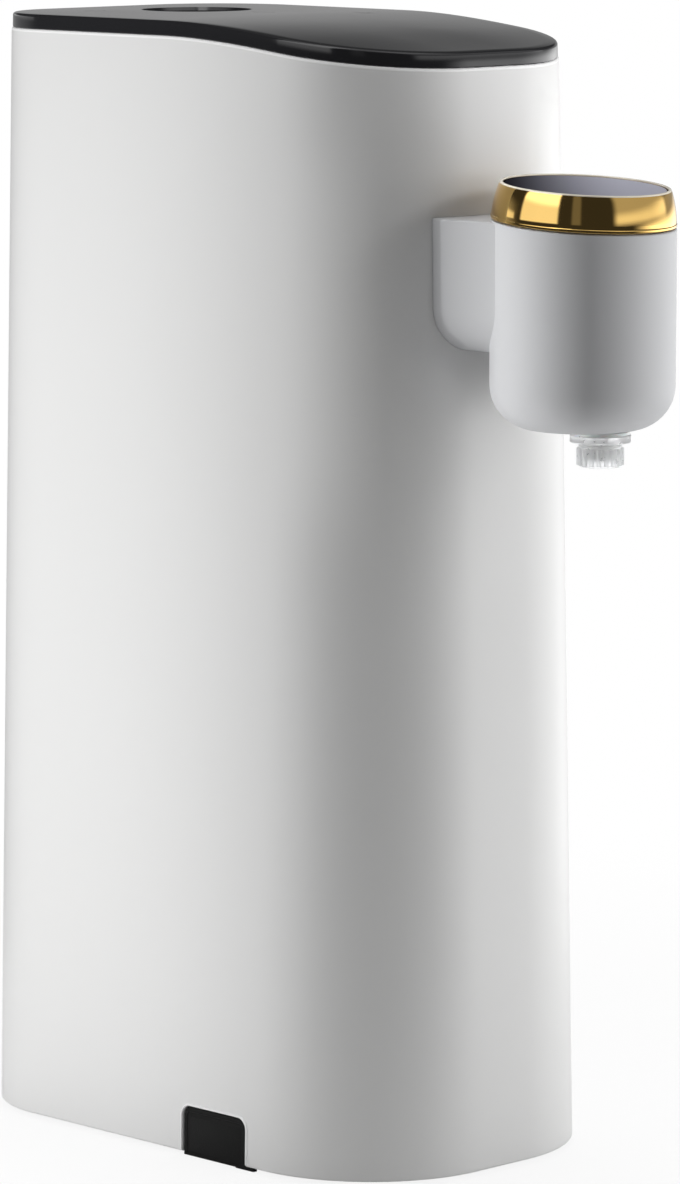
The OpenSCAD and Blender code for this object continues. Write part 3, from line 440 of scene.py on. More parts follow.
class Form:
    """The vertices and faces of a piece while it is made."""

    def __init__(self):
        self.points, self.faces, self.rings = [], [], []

    def ring(self, points):
        start = len(self.points)
        self.points += [tuple(p) for p in points]
        return range(start, len(self.points))

    def bridge(self, a, b):
        if len(a) == 1 or len(b) == 1:
            tip, ring = (a[0], b) if len(a) == 1 else (b[0], a)
            self.faces += [(tip, ring[k], ring[k - 1]) for k in range(len(ring))]
        else:
            self.faces += [(a[k - 1], a[k], b[k], b[k - 1]) for k in range(len(a))]

    def loft(self, rings, closed=False, capped=True):
        self.rings = rings = [self.ring(r) for r in rings]
        for a, b in zip(rings, rings[1:]):
            self.bridge(a, b)
        if closed:
            self.bridge(rings[-1], rings[0])
        elif capped:
            self.faces += [tuple(end) for end in (rings[0], rings[-1]) if len(end) > 1]
        return self

    def span(self, ring, steps):
        """Fills a ring that is alike on both sides with rows from one side to the other."""
        half = len(ring) // 2
        rows = [[ring[0]] * (steps + 1)]
        for k in range(1, half):
            start, end = Vector(self.points[ring[k]]), Vector(self.points[ring[-k]])
            between = self.ring([start.lerp(end, step / steps) for step in range(1, steps)])
            rows.append([ring[k], *between, ring[-k]])
        rows.append([ring[half]] * (steps + 1))
        for a, b in zip(rows, rows[1:]):
            for k in range(steps):
                self.faces.append(tuple(dict.fromkeys((a[k], a[k + 1], b[k + 1], b[k]))))

    def lathe(self, profile, sides, place):
        """Turns a closed or axis-to-axis profile of (radius, height) about Z, then places it."""
        axis = 1e-9  # a point no farther out than this is on the axis
        rings = []
        for radius, height in profile:
            turns = circle(sides) if radius > axis else [0]
            rings.append([place @ Vector((radius * cos(turn), radius * sin(turn), height)) for turn in turns])
        return self.loft(rings, closed=profile[0][0] > axis and profile[-1][0] > axis)

    def piece(self, name, material=None, crease=32):
        """The piece as an object, with its doubles merged, its faces outwards and its edges creased."""
        mesh = bpy.data.meshes.new(name)
        mesh.from_pydata(self.points, [], self.faces)
        tidy(mesh)
        smooth(mesh, crease)
        made = bpy.data.objects.new(name, mesh)
        bpy.context.scene.collection.objects.link(made)
        if material:
            mesh.materials.append(material)
        return made


def turned(name, profile, sides, place, material=None, crease=32):
    return Form().lathe(profile, sides, place).piece(name, material, crease)


def upright(y, z=0):
    """Frame of an upright axis in the middle, at a place along the depth."""
    return Matrix.Translation((0, y, z))


def tidy(mesh):
    same = 0.0005 * MM
    work = bmesh.new()
    work.from_mesh(mesh)
    bmesh.ops.remove_doubles(work, verts=work.verts, dist=same)
    bmesh.ops.dissolve_degenerate(work, edges=work.edges, dist=same)
    bmesh.ops.recalc_face_normals(work, faces=work.faces)
    work.to_mesh(mesh)
    work.free()


def smooth(mesh, crease):
    mesh.shade_smooth()
    mesh.set_sharp_from_angle(angle=radians(crease))


def bake(piece):
    """Turns a piece's modifiers into its plain mesh."""
    bpy.context.view_layer.update()
    view = bpy.context.evaluated_depsgraph_get()
    mesh = bpy.data.meshes.new_from_object(piece.evaluated_get(view), depsgraph=view)
    piece.modifiers.clear()
    piece.data = mesh


def cut(piece, *tools, operation="DIFFERENCE", crease):
    """Cuts the tools out of a piece, or joins them to it, and removes them."""
    for tool in tools:
        step = piece.modifiers.new("cut", "BOOLEAN")
        step.operation, step.object, step.solver = operation, tool, "EXACT"
    bake(piece)
    tidy(piece.data)
    smooth(piece.data, crease)
    for tool in tools:
        bpy.data.objects.remove(tool)


def dress(piece, body, slot, *nodes):
    """Puts a finished piece on its body in place of CAD nodes, once its box agrees with theirs."""
    allowed = 0.4 * MM
    if nodes:
        low, high = node_box(nodes)
        spot = piece_box(piece)
        over = max(max(a - b for a, b in zip(low, spot[0])), max(b - a for a, b in zip(high, spot[1])))
        if over > allowed:
            raise RuntimeError(f"{piece.name} stands {over / MM:.2f} mm outside its CAD nodes")
        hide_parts(*nodes)
    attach(piece, body)


def box_of(points):
    return [min(p[k] for p in points) for k in range(3)], [max(p[k] for p in points) for k in range(3)]


def node_box(nodes):
    return box_of([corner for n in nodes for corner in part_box(n)])


def piece_box(piece):
    return box_of([v.co for v in piece.data.vertices])


# ---- The body's plan and the tap's places ----


class Plan:
    """Where things are, worked out from the sizes."""

    def __init__(self, sizes):
        body, lid, tap = sizes.body, sizes.lid, sizes.tap
        self.body, self.lid, self.tap = body, lid, tap
        self.gland, self.finish = sizes.gland, sizes.finish
        spine = body.depth - body.front_radius - body.rear_radius
        self.head_radius = tap.head_diameter / 2
        reach_front = self.head_radius + tap.reach + body.front_radius
        reach_back = spine + body.rear_radius + body.taper * body.height
        self.front_axis = (reach_front - reach_back) / 2
        self.rear_axis = self.front_axis + spine
        self.front_y = self.front_axis - body.front_radius
        self.rear_y = self.rear_axis + body.rear_radius
        self.lid_seat = body.floor_gap + body.height
        self.wave_y = self.front_y + lid.wave_start
        self.socket_y = self.rear_y - lid.socket_inset
        self.head_y = self.front_y - tap.reach
        self.seat_z = tap.underside + tap.head_height
        self.arm_top = self.seat_z + 0.5 * MM
        self.nozzle_y = self.head_y - tap.nozzle_offset
        self.seat = upright(self.head_y, self.seat_z) @ Matrix.Rotation(tap.lean, 4, "X")
        self.outline = self.trace()

    def wave(self, y):
        """Height of the lid's seat at a place along the depth."""
        t = min(1, max(0, (self.wave_y - y) / self.lid.wave_length))
        return self.lid_seat - self.lid.fall * t * t * (3 - 2 * t)

    def trace(self, arc=30, flank=44, end=5):
        """The plan at the lid as points with outward directions: from the front's middle round by +X."""
        body = self.body
        front_x = body.front_width / 2 - body.front_radius
        rear_x = body.rear_width / 2 - body.rear_radius
        along = Vector((rear_x - front_x, self.rear_axis - self.front_axis))
        side = atan2(along.y, along.x) - acos((body.front_radius - body.rear_radius) / along.length)

        def bend(y, radius):
            def on(x, turn):
                way = Vector((cos(turn), sin(turn)))
                return Vector((x, y)) + radius * way, way
            return on

        front, rear = bend(self.front_axis, body.front_radius), bend(self.rear_axis, body.rear_radius)
        half = [front(front_x * k / end, -pi / 2) for k in range(end)]
        half += [front(front_x, -pi / 2 + (side + pi / 2) * k / arc) for k in range(arc + 1)]
        start, way = half[-1]
        finish = rear(rear_x, side)[0]
        half += [(start.lerp(finish, k / flank), way) for k in range(1, flank)]
        half += [rear(rear_x, side + (pi / 2 - side) * k / arc) for k in range(arc + 1)]
        half += [rear(rear_x * (1 - k / end), pi / 2) for k in range(1, end + 1)]
        mirror = Vector((-1, 1))
        return half + [(p * mirror, w * mirror) for p, w in reversed(half[1:-1])]

    def level(self, inset, height):
        """A ring round the body, drawn in by inset, at the height that a function of y gives."""
        ring = []
        for point, way in self.outline:
            z = height(point.y - way.y * inset)
            for _ in range(2):
                spot = point + way * (self.body.taper * (self.lid_seat - z) - inset)
                z = height(spot.y)
            ring.append((spot.x, spot.y, z))
        return ring

    def flank(self, y):
        """Frame on the -X flank at a place along the depth: its axes are along the flank, up and out."""
        sideways = -0.99
        rows = [(p, w) for p, w in self.outline if w.x < sideways]
        point, way = min(rows, key=lambda row: abs(row[0].y - y))
        out = Vector((way.x, way.y, self.body.taper)).normalized()
        along = Vector((-way.y, way.x, 0))
        up = out.cross(along)
        point = point + along.xy * (y - point.y) / way.x
        at = Vector((*(point + way * self.body.taper * self.lid_seat), 0))
        turn = Matrix((along, up, out)).transposed().to_4x4()
        return Matrix.Translation(at) @ turn


def plan_of(context):
    return Plan(context.scene.dispenser)


def arm_block(name, plan, grow, start, end):
    """The arm between two places along the depth: flat on top, round at its two lower corners."""
    tap = plan.tap
    top, low = plan.arm_top + grow, plan.arm_top - tap.arm_height - grow
    half, corner, edge = tap.arm_width / 2 + grow, tap.arm_radius + grow, 0.7 * MM
    corners = [(half, top, edge), (-half, top, edge), (-half, low, corner), (half, low, corner)]
    line = rounded(corners, 16, closed=True)
    return Form().loft([[(x, y, z) for x, z in line] for y in (start, end)]).piece(name)


def gland_outline(gland, grow, bottom, closed=True):
    """The gland's face as (along, up), grown by an amount, from a height above the floor."""
    half, top = gland.width / 2 + grow, gland.top + grow
    corner = max(0.4 * MM, gland.corner + grow)
    corners = [(half, bottom, 0), (half, top, corner), (-half, top, corner), (-half, bottom, 0)]
    return rounded(corners, 8, closed)


# ---- Operators, one for each group of pieces ----


class MakeShell(bpy.types.Operator):
    """Moulds the tapered shell, with its waved upper edge and the openings for the tap and the gland"""

    bl_idname = "dispenser.make_shell"
    bl_label = "Shell"

    def execute(self, context):
        plan = plan_of(context)
        body, base, edge = plan.body, plan.body.floor_gap, plan.body.edge
        inner_edge, rows, inner_rows = 0.3 * MM, 16, 4

        def level(inset, share_up, offset=0):
            return plan.level(inset, lambda y: base + share_up * (plan.wave(y) - base) + offset)

        rings = [level(inset, 0, rise) for inset, rise in quarter(edge)]
        rings += [level(0, k / rows, edge * (1 - 2 * k / rows)) for k in range(1, rows)]
        rings += [level(inset, 1, -fall) for inset, fall in reversed(quarter(edge))]
        rings += [level(body.wall - inner_edge, 1), level(body.wall, 1, -inner_edge)]
        rings += [level(body.wall, k / inner_rows) for k in reversed(range(1, inner_rows))]
        rings += [level(body.wall, 0, inner_edge), level(body.wall - inner_edge, 0)]
        shell = Form().loft(rings, closed=True).piece("shell_moulding", self.finish(plan).material)

        gap, before, behind = 0.06 * MM, 30 * MM, 18 * MM
        arm = arm_block("arm_gap", plan, gap, plan.front_y - before, plan.front_axis - behind)
        cut(shell, self.gland_opening(plan), arm, crease=30)
        dress(shell, "housing", "shell_white", "outer_shell")
        return {"FINISHED"}

    @staticmethod
    def finish(plan):
        """Satin white with a fine grain, and a painted highlight: a paler band on the narrow edge under the
        lid.
        """
        finish = Finish("satin_white", plan.finish.shell, 0.36, Coat_Weight=0.12, Coat_Roughness=0.2)
        finish.vary(finish.noise(28, 3), 0.06).bump(finish.noise(0.35, 3), 0.0035)
        # painted highlight: a narrow band just under the lid's wavy seat is mixed toward a whiter tone
        low = 1 - finish.axis(1).fade(plan.wave_y - plan.lid.wave_length, plan.wave_y)
        below = plan.lid_seat - low * plan.lid.fall - finish.axis(2)
        lip, painted_highlight_tone = 1 - below.fade(0.75 * MM, 0.95 * MM), (0.98, 0.98, 0.98, 1)
        return finish.set("Base Color", finish.mix(lip, finish.tone, painted_highlight_tone))

    @staticmethod
    def gland_opening(plan):
        """A block that cuts the gland's opening square to the flank."""
        gap, below, inside, outside = 0.2 * MM, -3 * MM, -9 * MM, 6 * MM
        place = plan.flank(plan.front_axis + plan.gland.behind)
        outline = gland_outline(plan.gland, gap, below)
        return Form().loft(
            [[place @ Vector((u, v, depth)) for u, v in outline] for depth in (inside, outside)]
        ).piece("gland_opening")


class MakeLid(bpy.types.Operator):
    """Moulds the waved lid, with its crowned top, the chamfered hole and the marks over the touch pads"""

    bl_idname = "dispenser.make_lid"
    bl_label = "Lid"

    def execute(self, context):
        plan = plan_of(context)
        body, lid = plan.body, plan.lid
        seam, skirt, skirt_foot = 0.3 * MM, body.wall + 0.25 * MM, -4 * MM
        skirt_inside = skirt + 1.6 * MM
        bands, middle, rows = 8, body.rear_radius - 4 * MM, 10
        line = [(skirt_inside, 0)] + rounded(
            [(skirt_inside, skirt_foot, 0), (skirt, skirt_foot, 0.3 * MM), (skirt, 0, 0),
             (seam, 0, 0.35 * MM), (seam, lid.thickness, lid.edge), (lid.crown_width, lid.thickness, 0)], 6,
        )[:-1]
        inset = seam + lid.edge
        line += [(inset + (middle - inset) * k / bands, lid.thickness) for k in range(1, bands + 1)]
        rings = [plan.level(inset, lambda y, rise=rise: plan.wave(y) + rise) for inset, rise in line]
        form = Form().loft(rings, capped=False)
        under, cap = form.rings[0], form.rings[-1]
        form.span(under, 1)
        form.span(cap, rows)
        # the top falls away towards its edge
        for k, (x, y, z) in enumerate(form.points):
            if z > plan.wave(y) + lid.thickness / 2:
                away = 1 - min(1, self.inside(plan, Vector((x, y))) / lid.crown_width)
                form.points[k] = (x, y, z - lid.crown * away * away)
        cover = form.piece("waved_lid", self.finish(plan).material)

        top, past = plan.lid_seat + lid.thickness, 2 * MM
        bottom, bore, flare = top - 20 * MM, lid.hole_radius, lid.hole_radius + lid.chamfer
        hole = turned(
            "hole",
            [(0, bottom), (bore, bottom), (bore, top - lid.chamfer), (flare, top), (flare + past, top + past),
             (0, top + past)],
            128, upright(plan.socket_y),
        )
        cut(cover, hole, crease=24)
        dress(cover, "housing", "lid_black", "lid_plate")
        return {"FINISHED"}

    @staticmethod
    def inside(plan, spot):
        """Distance from the lid's outline."""
        return min(way.dot(point - spot) for point, way in plan.outline)

    def finish(self, plan):
        """Polished black with a mark printed over each touch pad, as places in mm from the socket."""
        finish = Finish("smoke_black", plan.finish.lid, 0.07, Coat_Weight=0.3, Coat_Roughness=0.03)
        prints = None
        for draw, x, y in ((self.drop, 0, -27.5), (self.padlock, 22, -45), (self.switch, -26, 14)):
            shape = draw(finish.axis(0) - x * MM, finish.axis(1) - (plan.socket_y + y * MM))
            prints = shape if prints is None else prints.most(shape)
        ink = (*[c + 0.1 for c in plan.finish.lid], 1)
        finish.set("Base Color", finish.mix(prints, finish.tone, ink))
        return polish(finish, prints * 0.12)

    @staticmethod
    def stroke(distance, width=0.45 * MM):
        """A printed line where the distance is near zero."""
        return 1 - abs(distance).fade(width * 0.4, width * 0.7)

    @staticmethod
    def drop(x, y):
        """A drop: a round foot drawn up to a point by two straight sides."""
        sunk, radius, tip, shoulder = 1 * MM, 2.5 * MM, 4.4 * MM, 0.16 * MM
        across, up = 0.886, 0.463
        foot = (x * x + (y + sunk) * (y + sunk)).root() - radius
        sides = abs(x) * across + (y - tip) * up
        return MakeLid.stroke(foot.least(sides.most(shoulder - y)))

    @staticmethod
    def padlock(x, y):
        """A padlock: a solid body with a round shackle."""
        body_y, half_width, flat, shackle_y, radius = 1.6 * MM, 2.5 * MM, 1.25, 0.6 * MM, 1.9 * MM
        body = abs(x).most(abs(y + body_y) * flat)
        solid = 1 - body.fade(half_width, half_width + 0.2 * MM)
        shackle = MakeLid.stroke((x * x + (y - shackle_y) * (y - shackle_y)).root() - radius)
        return solid.most(shackle * y.fade(0, 0.3 * MM))

    @staticmethod
    def switch(x, y):
        """The usual switch mark: an open ring with an upright bar."""
        radius, half_gap, top, soft = 2.7 * MM, 0.9 * MM, 3.2 * MM, 0.2 * MM
        gap = 1 - (1 - abs(x).fade(half_gap, half_gap + soft)) * y.fade(0, soft)
        bar = MakeLid.stroke(x) * y.fade(soft, 2 * soft) * (1 - y.fade(top, top + soft))
        return (MakeLid.stroke((x * x + y * y).root() - radius) * gap).most(bar)


class MakeSeal(bpy.types.Operator):
    """Turns the lipped seal in the bottle socket"""

    bl_idname = "dispenser.make_seal"
    bl_label = "Socket seal"

    def execute(self, context):
        plan = plan_of(context)
        low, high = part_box("socket_seal")
        outer = (high.x - low.x) / 2
        inner, valley, crest, rise, count = outer - 1.7 * MM, outer - 1.6 * MM, outer - 1.9 * MM, 0.3 * MM, 3
        lips = []
        for k in range(count):
            z = low.z + (high.z - low.z) * (k + 0.5) / count
            lips += [(valley, z - rise, 0.1 * MM), (crest, z, 0.12 * MM)]
        profile = rounded(
            [(outer, low.z, 0.15 * MM), (outer, high.z, 0.25 * MM), (inner, high.z, 0.25 * MM), *lips[::-1],
             (inner, low.z, 0.1 * MM)], 3, closed=True,
        )
        black = rubber("socket_rubber", (0.02, 0.02, 0.02), 0.45)
        seal = turned("socket_gasket", profile, 96, upright(plan.socket_y), black.material)
        dress(seal, "housing", "mount_rubber", "socket_seal")
        return {"FINISHED"}


class MakeStrainer(bpy.types.Operator):
    """Weaves the strainer in the floor of the socket"""

    bl_idname = "dispenser.make_strainer"
    bl_label = "Strainer"

    def execute(self, context):
        plan = plan_of(context)
        low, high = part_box("strainer")
        radius = (high.x - low.x) / 2
        bore, edge, soft = radius - 1.4 * MM, 0.2 * MM, 0.3 * MM
        steel = drawn_metal("strainer_steel", (0.62, 0.62, 0.64), 0.3, (1, 1, 1)).material
        section = [(bore, low.z, edge), (radius, low.z, edge), (radius, high.z, soft), (bore, high.z, soft)]
        rim = turned("strainer_rim", rounded(section, 4, True), 96, upright(plan.socket_y), steel, 40)
        dress(rim, "housing", "steel", "strainer")
        wires = self.weave_tree().run(
            "strainer_weave", steel, 50, Count=19, Radius=radius - 0.9 * MM, Wire=0.17 * MM,
            Place=(0, plan.socket_y, (low.z + high.z) / 2),
        )
        dress(wires, "housing", "steel")
        return {"FINISHED"}

    @staticmethod
    def weave_tree():
        """Two crossed layers of wires, each as long as the round frame lets it be."""
        tree = Shape("Wires across a round frame", Count="Int", Radius="Float", Wire="Float", Place="Vector")
        radius, wire = tree.given["Radius"], tree.given["Wire"]
        reach, apart = radius * 0.97, 0.8
        line = tree.node(
            "GeometryNodeMeshLine", {"mode": "END_POINTS"}, Count=tree.given["Count"],
            Start_Location=tree.vector(reach * -1, 0, 0), Offset=tree.vector(reach, 0, 0),
        )
        rod = tree.node("GeometryNodeMeshCylinder", None, Vertices=8, Radius=wire, Depth=1)
        rod = tree.moved(rod, Rotation=(pi / 2, 0, 0))
        x = tree.node("ShaderNodeSeparateXYZ", None, tree.node("GeometryNodeInputPosition"))
        chord = (radius * radius - x * x).root() * 2
        size = tree.vector(1, chord, 1)
        layer = tree.node("GeometryNodeInstanceOnPoints", None, line, None, rod, Scale=size)
        over = tree.moved(layer, Translation=tree.vector(0, 0, wire * apart))
        under = tree.moved(layer, Translation=tree.vector(0, 0, wire * -apart), Rotation=(0, 0, pi / 2))
        return tree.done(tree.moved(tree.join(over, under), Translation=tree.given["Place"]))


class MakeGland(bpy.types.Operator):
    """Moulds the black gland in the flank, with its pull lip and the white bead round it, whose whiter tone
    is partly a painted highlight
    """

    bl_idname = "dispenser.make_gland"
    bl_label = "Gland"

    def execute(self, context):
        plan = plan_of(context)
        place = plan.flank(plan.front_axis + plan.gland.behind)
        black = rubber("gland_rubber", plan.finish.gland, 0.55, Specular_IOR_Level=0.2).material
        face = self.face(plan.gland, place).piece("cord_gland_face", black, 40)
        lip = self.lip(plan.gland, place).piece("lip", black, 40)
        cut(face, lip, operation="UNION", crease=40)
        dress(face, "housing", "gland_black", "cord_gland")
        # the bead is whiter than the shell it belongs to: partly a painted highlight, with real gloss
        white = polished("trim_white", plan.finish.trim_highlight, 0.2, Coat_Weight=0.5).material
        bead = self.bead(plan.gland, place, plan.body.floor_gap + 0.6 * MM).piece("gland_trim", white, 50)
        dress(bead, "housing", "shell_white")
        return {"FINISHED"}

    @staticmethod
    def face(gland, place):
        """The plug, a little sunk in the flank, with a groove inside its rim."""
        sunk, bottom, rings = 0.3 * MM, 0.25 * MM, []
        for inset, depth in ((0, -7), (0, -0.9), (0.1, -0.45), (0.45, -0.1), (0.9, 0),
                             (1.5, 0), (1.7, -0.18), (2.4, -0.18), (2.8, -0.05)):
            outline = gland_outline(gland, -inset * MM, bottom + inset * MM * 0.6)
            rings.append([place @ Vector((u, v, depth * MM - sunk)) for u, v in outline])
        return Form().loft(rings)

    @staticmethod
    def lip(gland, place):
        """The thin lip at the foot that the plug is pulled out by."""
        half, back, soft = gland.width / 2, -2 * MM, 0.5 * MM
        root, tip = half - 4 * MM, half + 3.1 * MM
        corners = [(root, back, 0), (tip, back, soft), (tip, -0.35 * MM, soft), (root, -0.3 * MM, 0)]
        line, levels = rounded(corners, 5, closed=True), (0.22, 0.3, 1.0, 1.06)
        return Form().loft([[place @ Vector((u, v * MM, w)) for u, w in line] for v in levels])

    @staticmethod
    def bead(gland, place, bottom):
        """The bead on the shell round the gland's sides and top."""
        section = ((0.12, -0.6), (0.12, 0.08), (0.2, 0.22), (0.4, 0.3),
                   (0.65, 0.26), (0.85, 0.12), (0.95, -0.1), (0.95, -0.6))
        lines = [gland_outline(gland, grow * MM, bottom, closed=False) for grow, _ in section]
        return Form().loft([
            [place @ Vector((*spot, depth * MM)) for spot, (_, depth) in zip(spots, section)]
            for spots in zip(*lines)
        ])


class MakeFeet(bpy.types.Operator):
    """Moulds the four ringed rubber feet"""

    bl_idname = "dispenser.make_feet"
    bl_label = "Feet"

    def execute(self, context):
        plan = plan_of(context)
        low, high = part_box("rubber_feet")
        foot, groove, soft, radius = low.z, low.z + 0.5 * MM, 0.15 * MM, 8 * MM
        rings = ((2, foot), (2.3, groove), (3.6, groove), (3.9, foot),
                 (5.1, foot), (5.4, groove), (6.5, groove), (6.8, foot))
        profile = rounded(
            [(0, foot, 0)] + [(r * MM, z, soft) for r, z in rings]
            + [(radius, foot, 0.5 * MM), (radius, high.z, 0.3 * MM), (0, high.z, 0)], 3,
        )
        front, rear = plan.front_axis - 22 * MM, plan.rear_axis + 9 * MM
        form = Form()
        for x, y in ((-20, front), (20, front), (-32, rear), (32, rear)):
            form.lathe(profile, 48, Matrix.Translation((x * MM, y, 0)))
        black = rubber("foot_rubber", plan.finish.gland)
        dress(form.piece("ringed_feet", black.material, 40), "housing", "foot_rubber", "rubber_feet")
        return {"FINISHED"}


class MakeTap(bpy.types.Operator):
    """Moulds the tap head and its arm as one hollow piece"""

    bl_idname = "dispenser.make_tap"
    bl_label = "Tap housing"

    def execute(self, context):
        plan = plan_of(context)
        tap, wall, radius = plan.tap, plan.tap.wall, plan.head_radius
        finish = moulded("tap_grain", plan.finish.tap, 0.5, 0.22, 0.012)
        head = self.head(plan).piece("tap_moulding", finish.material)
        arm = arm_block("arm", plan, 0, plan.head_y, plan.front_axis - 30 * MM)
        cut(head, arm, operation="UNION", crease=20)

        past, deep, narrow, wide, flare = 4 * MM, 6 * MM, radius - 1.6 * MM, radius - 1.3 * MM, 0.3 * MM
        recess = turned(
            "recess", [(0, -deep), (narrow, -deep), (narrow, -flare), (wide, 0), (wide, past), (0, past)],
            128, plan.seat,
        )
        core, height = radius - wall, 44 * MM
        bowl = rounded([(0, 0, 0), (core, 0, tap.fillet - wall), (core, height, 0)], 8)
        hollow = turned("hollow", [*bowl, (0, height)], 96, upright(plan.head_y, tap.underside + wall))
        duct = arm_block("duct", plan, -wall, plan.head_y + 10 * MM, plan.front_axis - 29 * MM)
        stem, below = 5.1 * MM, -1 * MM
        hole = turned(
            "stem", [(0, below), (stem, below), (stem, past), (0, past)], 48,
            upright(plan.nozzle_y, tap.underside),
        )
        cut(head, recess, hollow, duct, hole, crease=20)
        dress(head, "housing", "tap_grey", "tap_housing")
        return {"FINISHED"}

    @staticmethod
    def head(plan):
        """The head's outside: upright below, with rows that lean more and more up to the top face."""
        radius, foot, slope = plan.head_radius, plan.tap.underside, tan(plan.tap.lean)
        edge, rows, sides = 0.5 * MM, 8, 144
        start, end = foot + plan.tap.fillet, plan.seat_z - edge

        def around(r, height):
            spots = [(r * cos(turn), r * sin(turn)) for turn in circle(sides)]
            return [(x, plan.head_y + y, height(y)) for x, y in spots]

        fillet = rounded([(0, 0, 0), (radius, 0, plan.tap.fillet), (radius, 30 * MM, 0)], 14)
        rings = [[(0, plan.head_y, foot)]]
        rings += [around(r, lambda y, z=z: foot + z) for r, z in fillet[1:-1]]
        for k in range(1, rows + 1):
            rings.append(around(radius, lambda y, k=k: start + (end - start + y * slope) * k / rows))
        for drop, inset in quarter(edge)[1:]:
            rings.append(around(radius - inset, lambda y, drop=drop: plan.seat_z - drop + y * slope))
        rings.append([(0, plan.head_y, plan.seat_z)])
        return Form().loft(rings, capped=False)


class MakeKnob(bpy.types.Operator):
    """Turns the gold ring and the press disc in it"""

    bl_idname = "dispenser.make_knob"
    bl_label = "Ring and disc"

    def execute(self, context):
        plan = plan_of(context)
        bore, rim = plan.head_radius - 2.87 * MM, RING_FOOT + plan.tap.ring_height
        plated = self.plating(plan, rim)
        ring = turned("gold_ring", self.ring_profile(plan, bore, rim), 192, plan.seat, plated.material, 40)
        dress(ring, "knob", "gold", "knob_ring")

        top, radius, edge, soft = rim - 0.4 * MM, bore - 0.28 * MM, 0.1 * MM, 0.3 * MM
        under = top - 1.5 * MM
        # the disc's light and shade are painted: its specular is off, and its colour runs from painted shade
        # on the side left in the camera's view to a painted reflection on the right
        smoke = polished("smoke_disc", plan.finish.disc, 0.3, Specular_IOR_Level=0)
        across = smoke.axis(0) * 0.72 - (smoke.axis(1) - plan.head_y) * 0.69
        painted_gradient = across.fade(-1.05 * radius, 0.6 * radius)
        smoke.set("Base Color", smoke.mix(painted_gradient, (*plan.finish.disc_shade, 1), smoke.tone))
        profile = rounded([(0, under, 0), (radius, under, edge), (radius, top, soft), (0, top, 0)], 5)
        disc = turned("press_disc_cap", profile, 160, plan.seat, smoke.material, 40)
        dress(disc, "button", "disc_smoke", "touch_disc")
        return {"FINISHED"}

    @staticmethod
    def ring_profile(plan, bore, rim):
        """A step at the foot, a side that is drawn in more and more, and a rounded rim."""
        outer, steps = plan.head_radius, 8
        belly, belly_z = outer - 0.12 * MM, RING_FOOT + 1.1 * MM
        drawn_in, rise = plan.tap.ring_taper - 0.2 * MM, plan.tap.ring_height - 2.0 * MM
        side = [
            (belly - drawn_in * (0.45 * t + 0.55 * t ** 2.2), belly_z + rise * t, 0)
            for t in (k / steps for k in range(steps + 1))
        ]
        return rounded(
            [(bore, RING_FOOT, 0.1 * MM), (outer, RING_FOOT, 0.22 * MM),
             (outer, RING_FOOT + 0.75 * MM, 0.2 * MM), (outer - 0.16 * MM, RING_FOOT + 0.9 * MM, 0), *side,
             (bore + 0.75 * MM, rim, 0.35 * MM), (bore, rim, 0.3 * MM)], 6, closed=True,
        )

    @staticmethod
    def plating(plan, rim):
        """Polished plating with faint marks round the ring, and a painted highlight: a paler, less metallic
        band at the rim.
        """
        finish = Finish("gold_plating", plan.finish.gold, 0.06, 1.0)
        marks = finish.noise(0.5, 2, (0.2, 0.2, 3))
        up = plan.seat.to_3x3() @ Vector((0, 0, 1))
        height = finish.axis(1) * up.y + finish.axis(2) * up.z - up.dot(plan.seat.translation)
        # painted highlight: the band at the ring's rim is mixed toward a paler tone and made less metallic
        lip, painted_highlight_tone = height.fade(rim - 0.5 * MM, rim - 0.3 * MM), (1, 0.93, 0.78, 1)
        finish.set("Roughness", 0.04 + marks * 0.05)
        finish.set("Base Color", finish.mix(lip, finish.shades(finish.noise(7), 0.04), painted_highlight_tone))
        finish.set("Metallic", 1 - lip * 0.85)
        return finish.bump(marks, 0.0015)


class MakeSpring(bpy.types.Operator):
    """Winds the spring under the press disc, closed at both ends"""

    bl_idname = "dispenser.make_spring"
    bl_label = "Return spring"

    def execute(self, context):
        plan = plan_of(context)
        radius, wire, gap, sides, steps = 8 * MM, 0.35 * MM, 0.05 * MM, 12, 40
        closed, working, travel = 1, 3, 1.2 * MM
        half_board, disc_and_carrier = 0.8 * MM, 3.3 * MM
        low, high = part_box("knob_board")
        board = plan.seat.inverted() @ ((low + high) / 2)
        foot = board.z + half_board + gap
        length = RING_FOOT + plan.tap.ring_height - disc_and_carrier - gap - foot
        closed_pitch = 2.1 * wire
        pitch = (length - 2 * wire - 2 * closed * closed_pitch) / working
        up = Vector((0, 0, 1))
        rings = []
        for k in range((working + 2 * closed) * steps + 1):
            turn = k / steps
            rise = min(max(turn - closed, 0), working) * pitch
            rise += (min(turn, closed) + max(turn - closed - working, 0)) * closed_pitch
            out = Vector((cos(2 * pi * turn), sin(2 * pi * turn), 0))
            at = radius * out + (foot + wire + rise) * up
            rings.append([plan.seat @ (at + wire * (cos(a) * out + sin(a) * up)) for a in circle(sides)])
        steel = drawn_metal("spring_steel", (0.6, 0.6, 0.62), 0.28)
        coil = Form().loft(rings).piece("disc_spring", steel.material, 50)
        dress(coil, "housing", "steel", "return_spring")
        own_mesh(coil)
        return {"FINISHED"}


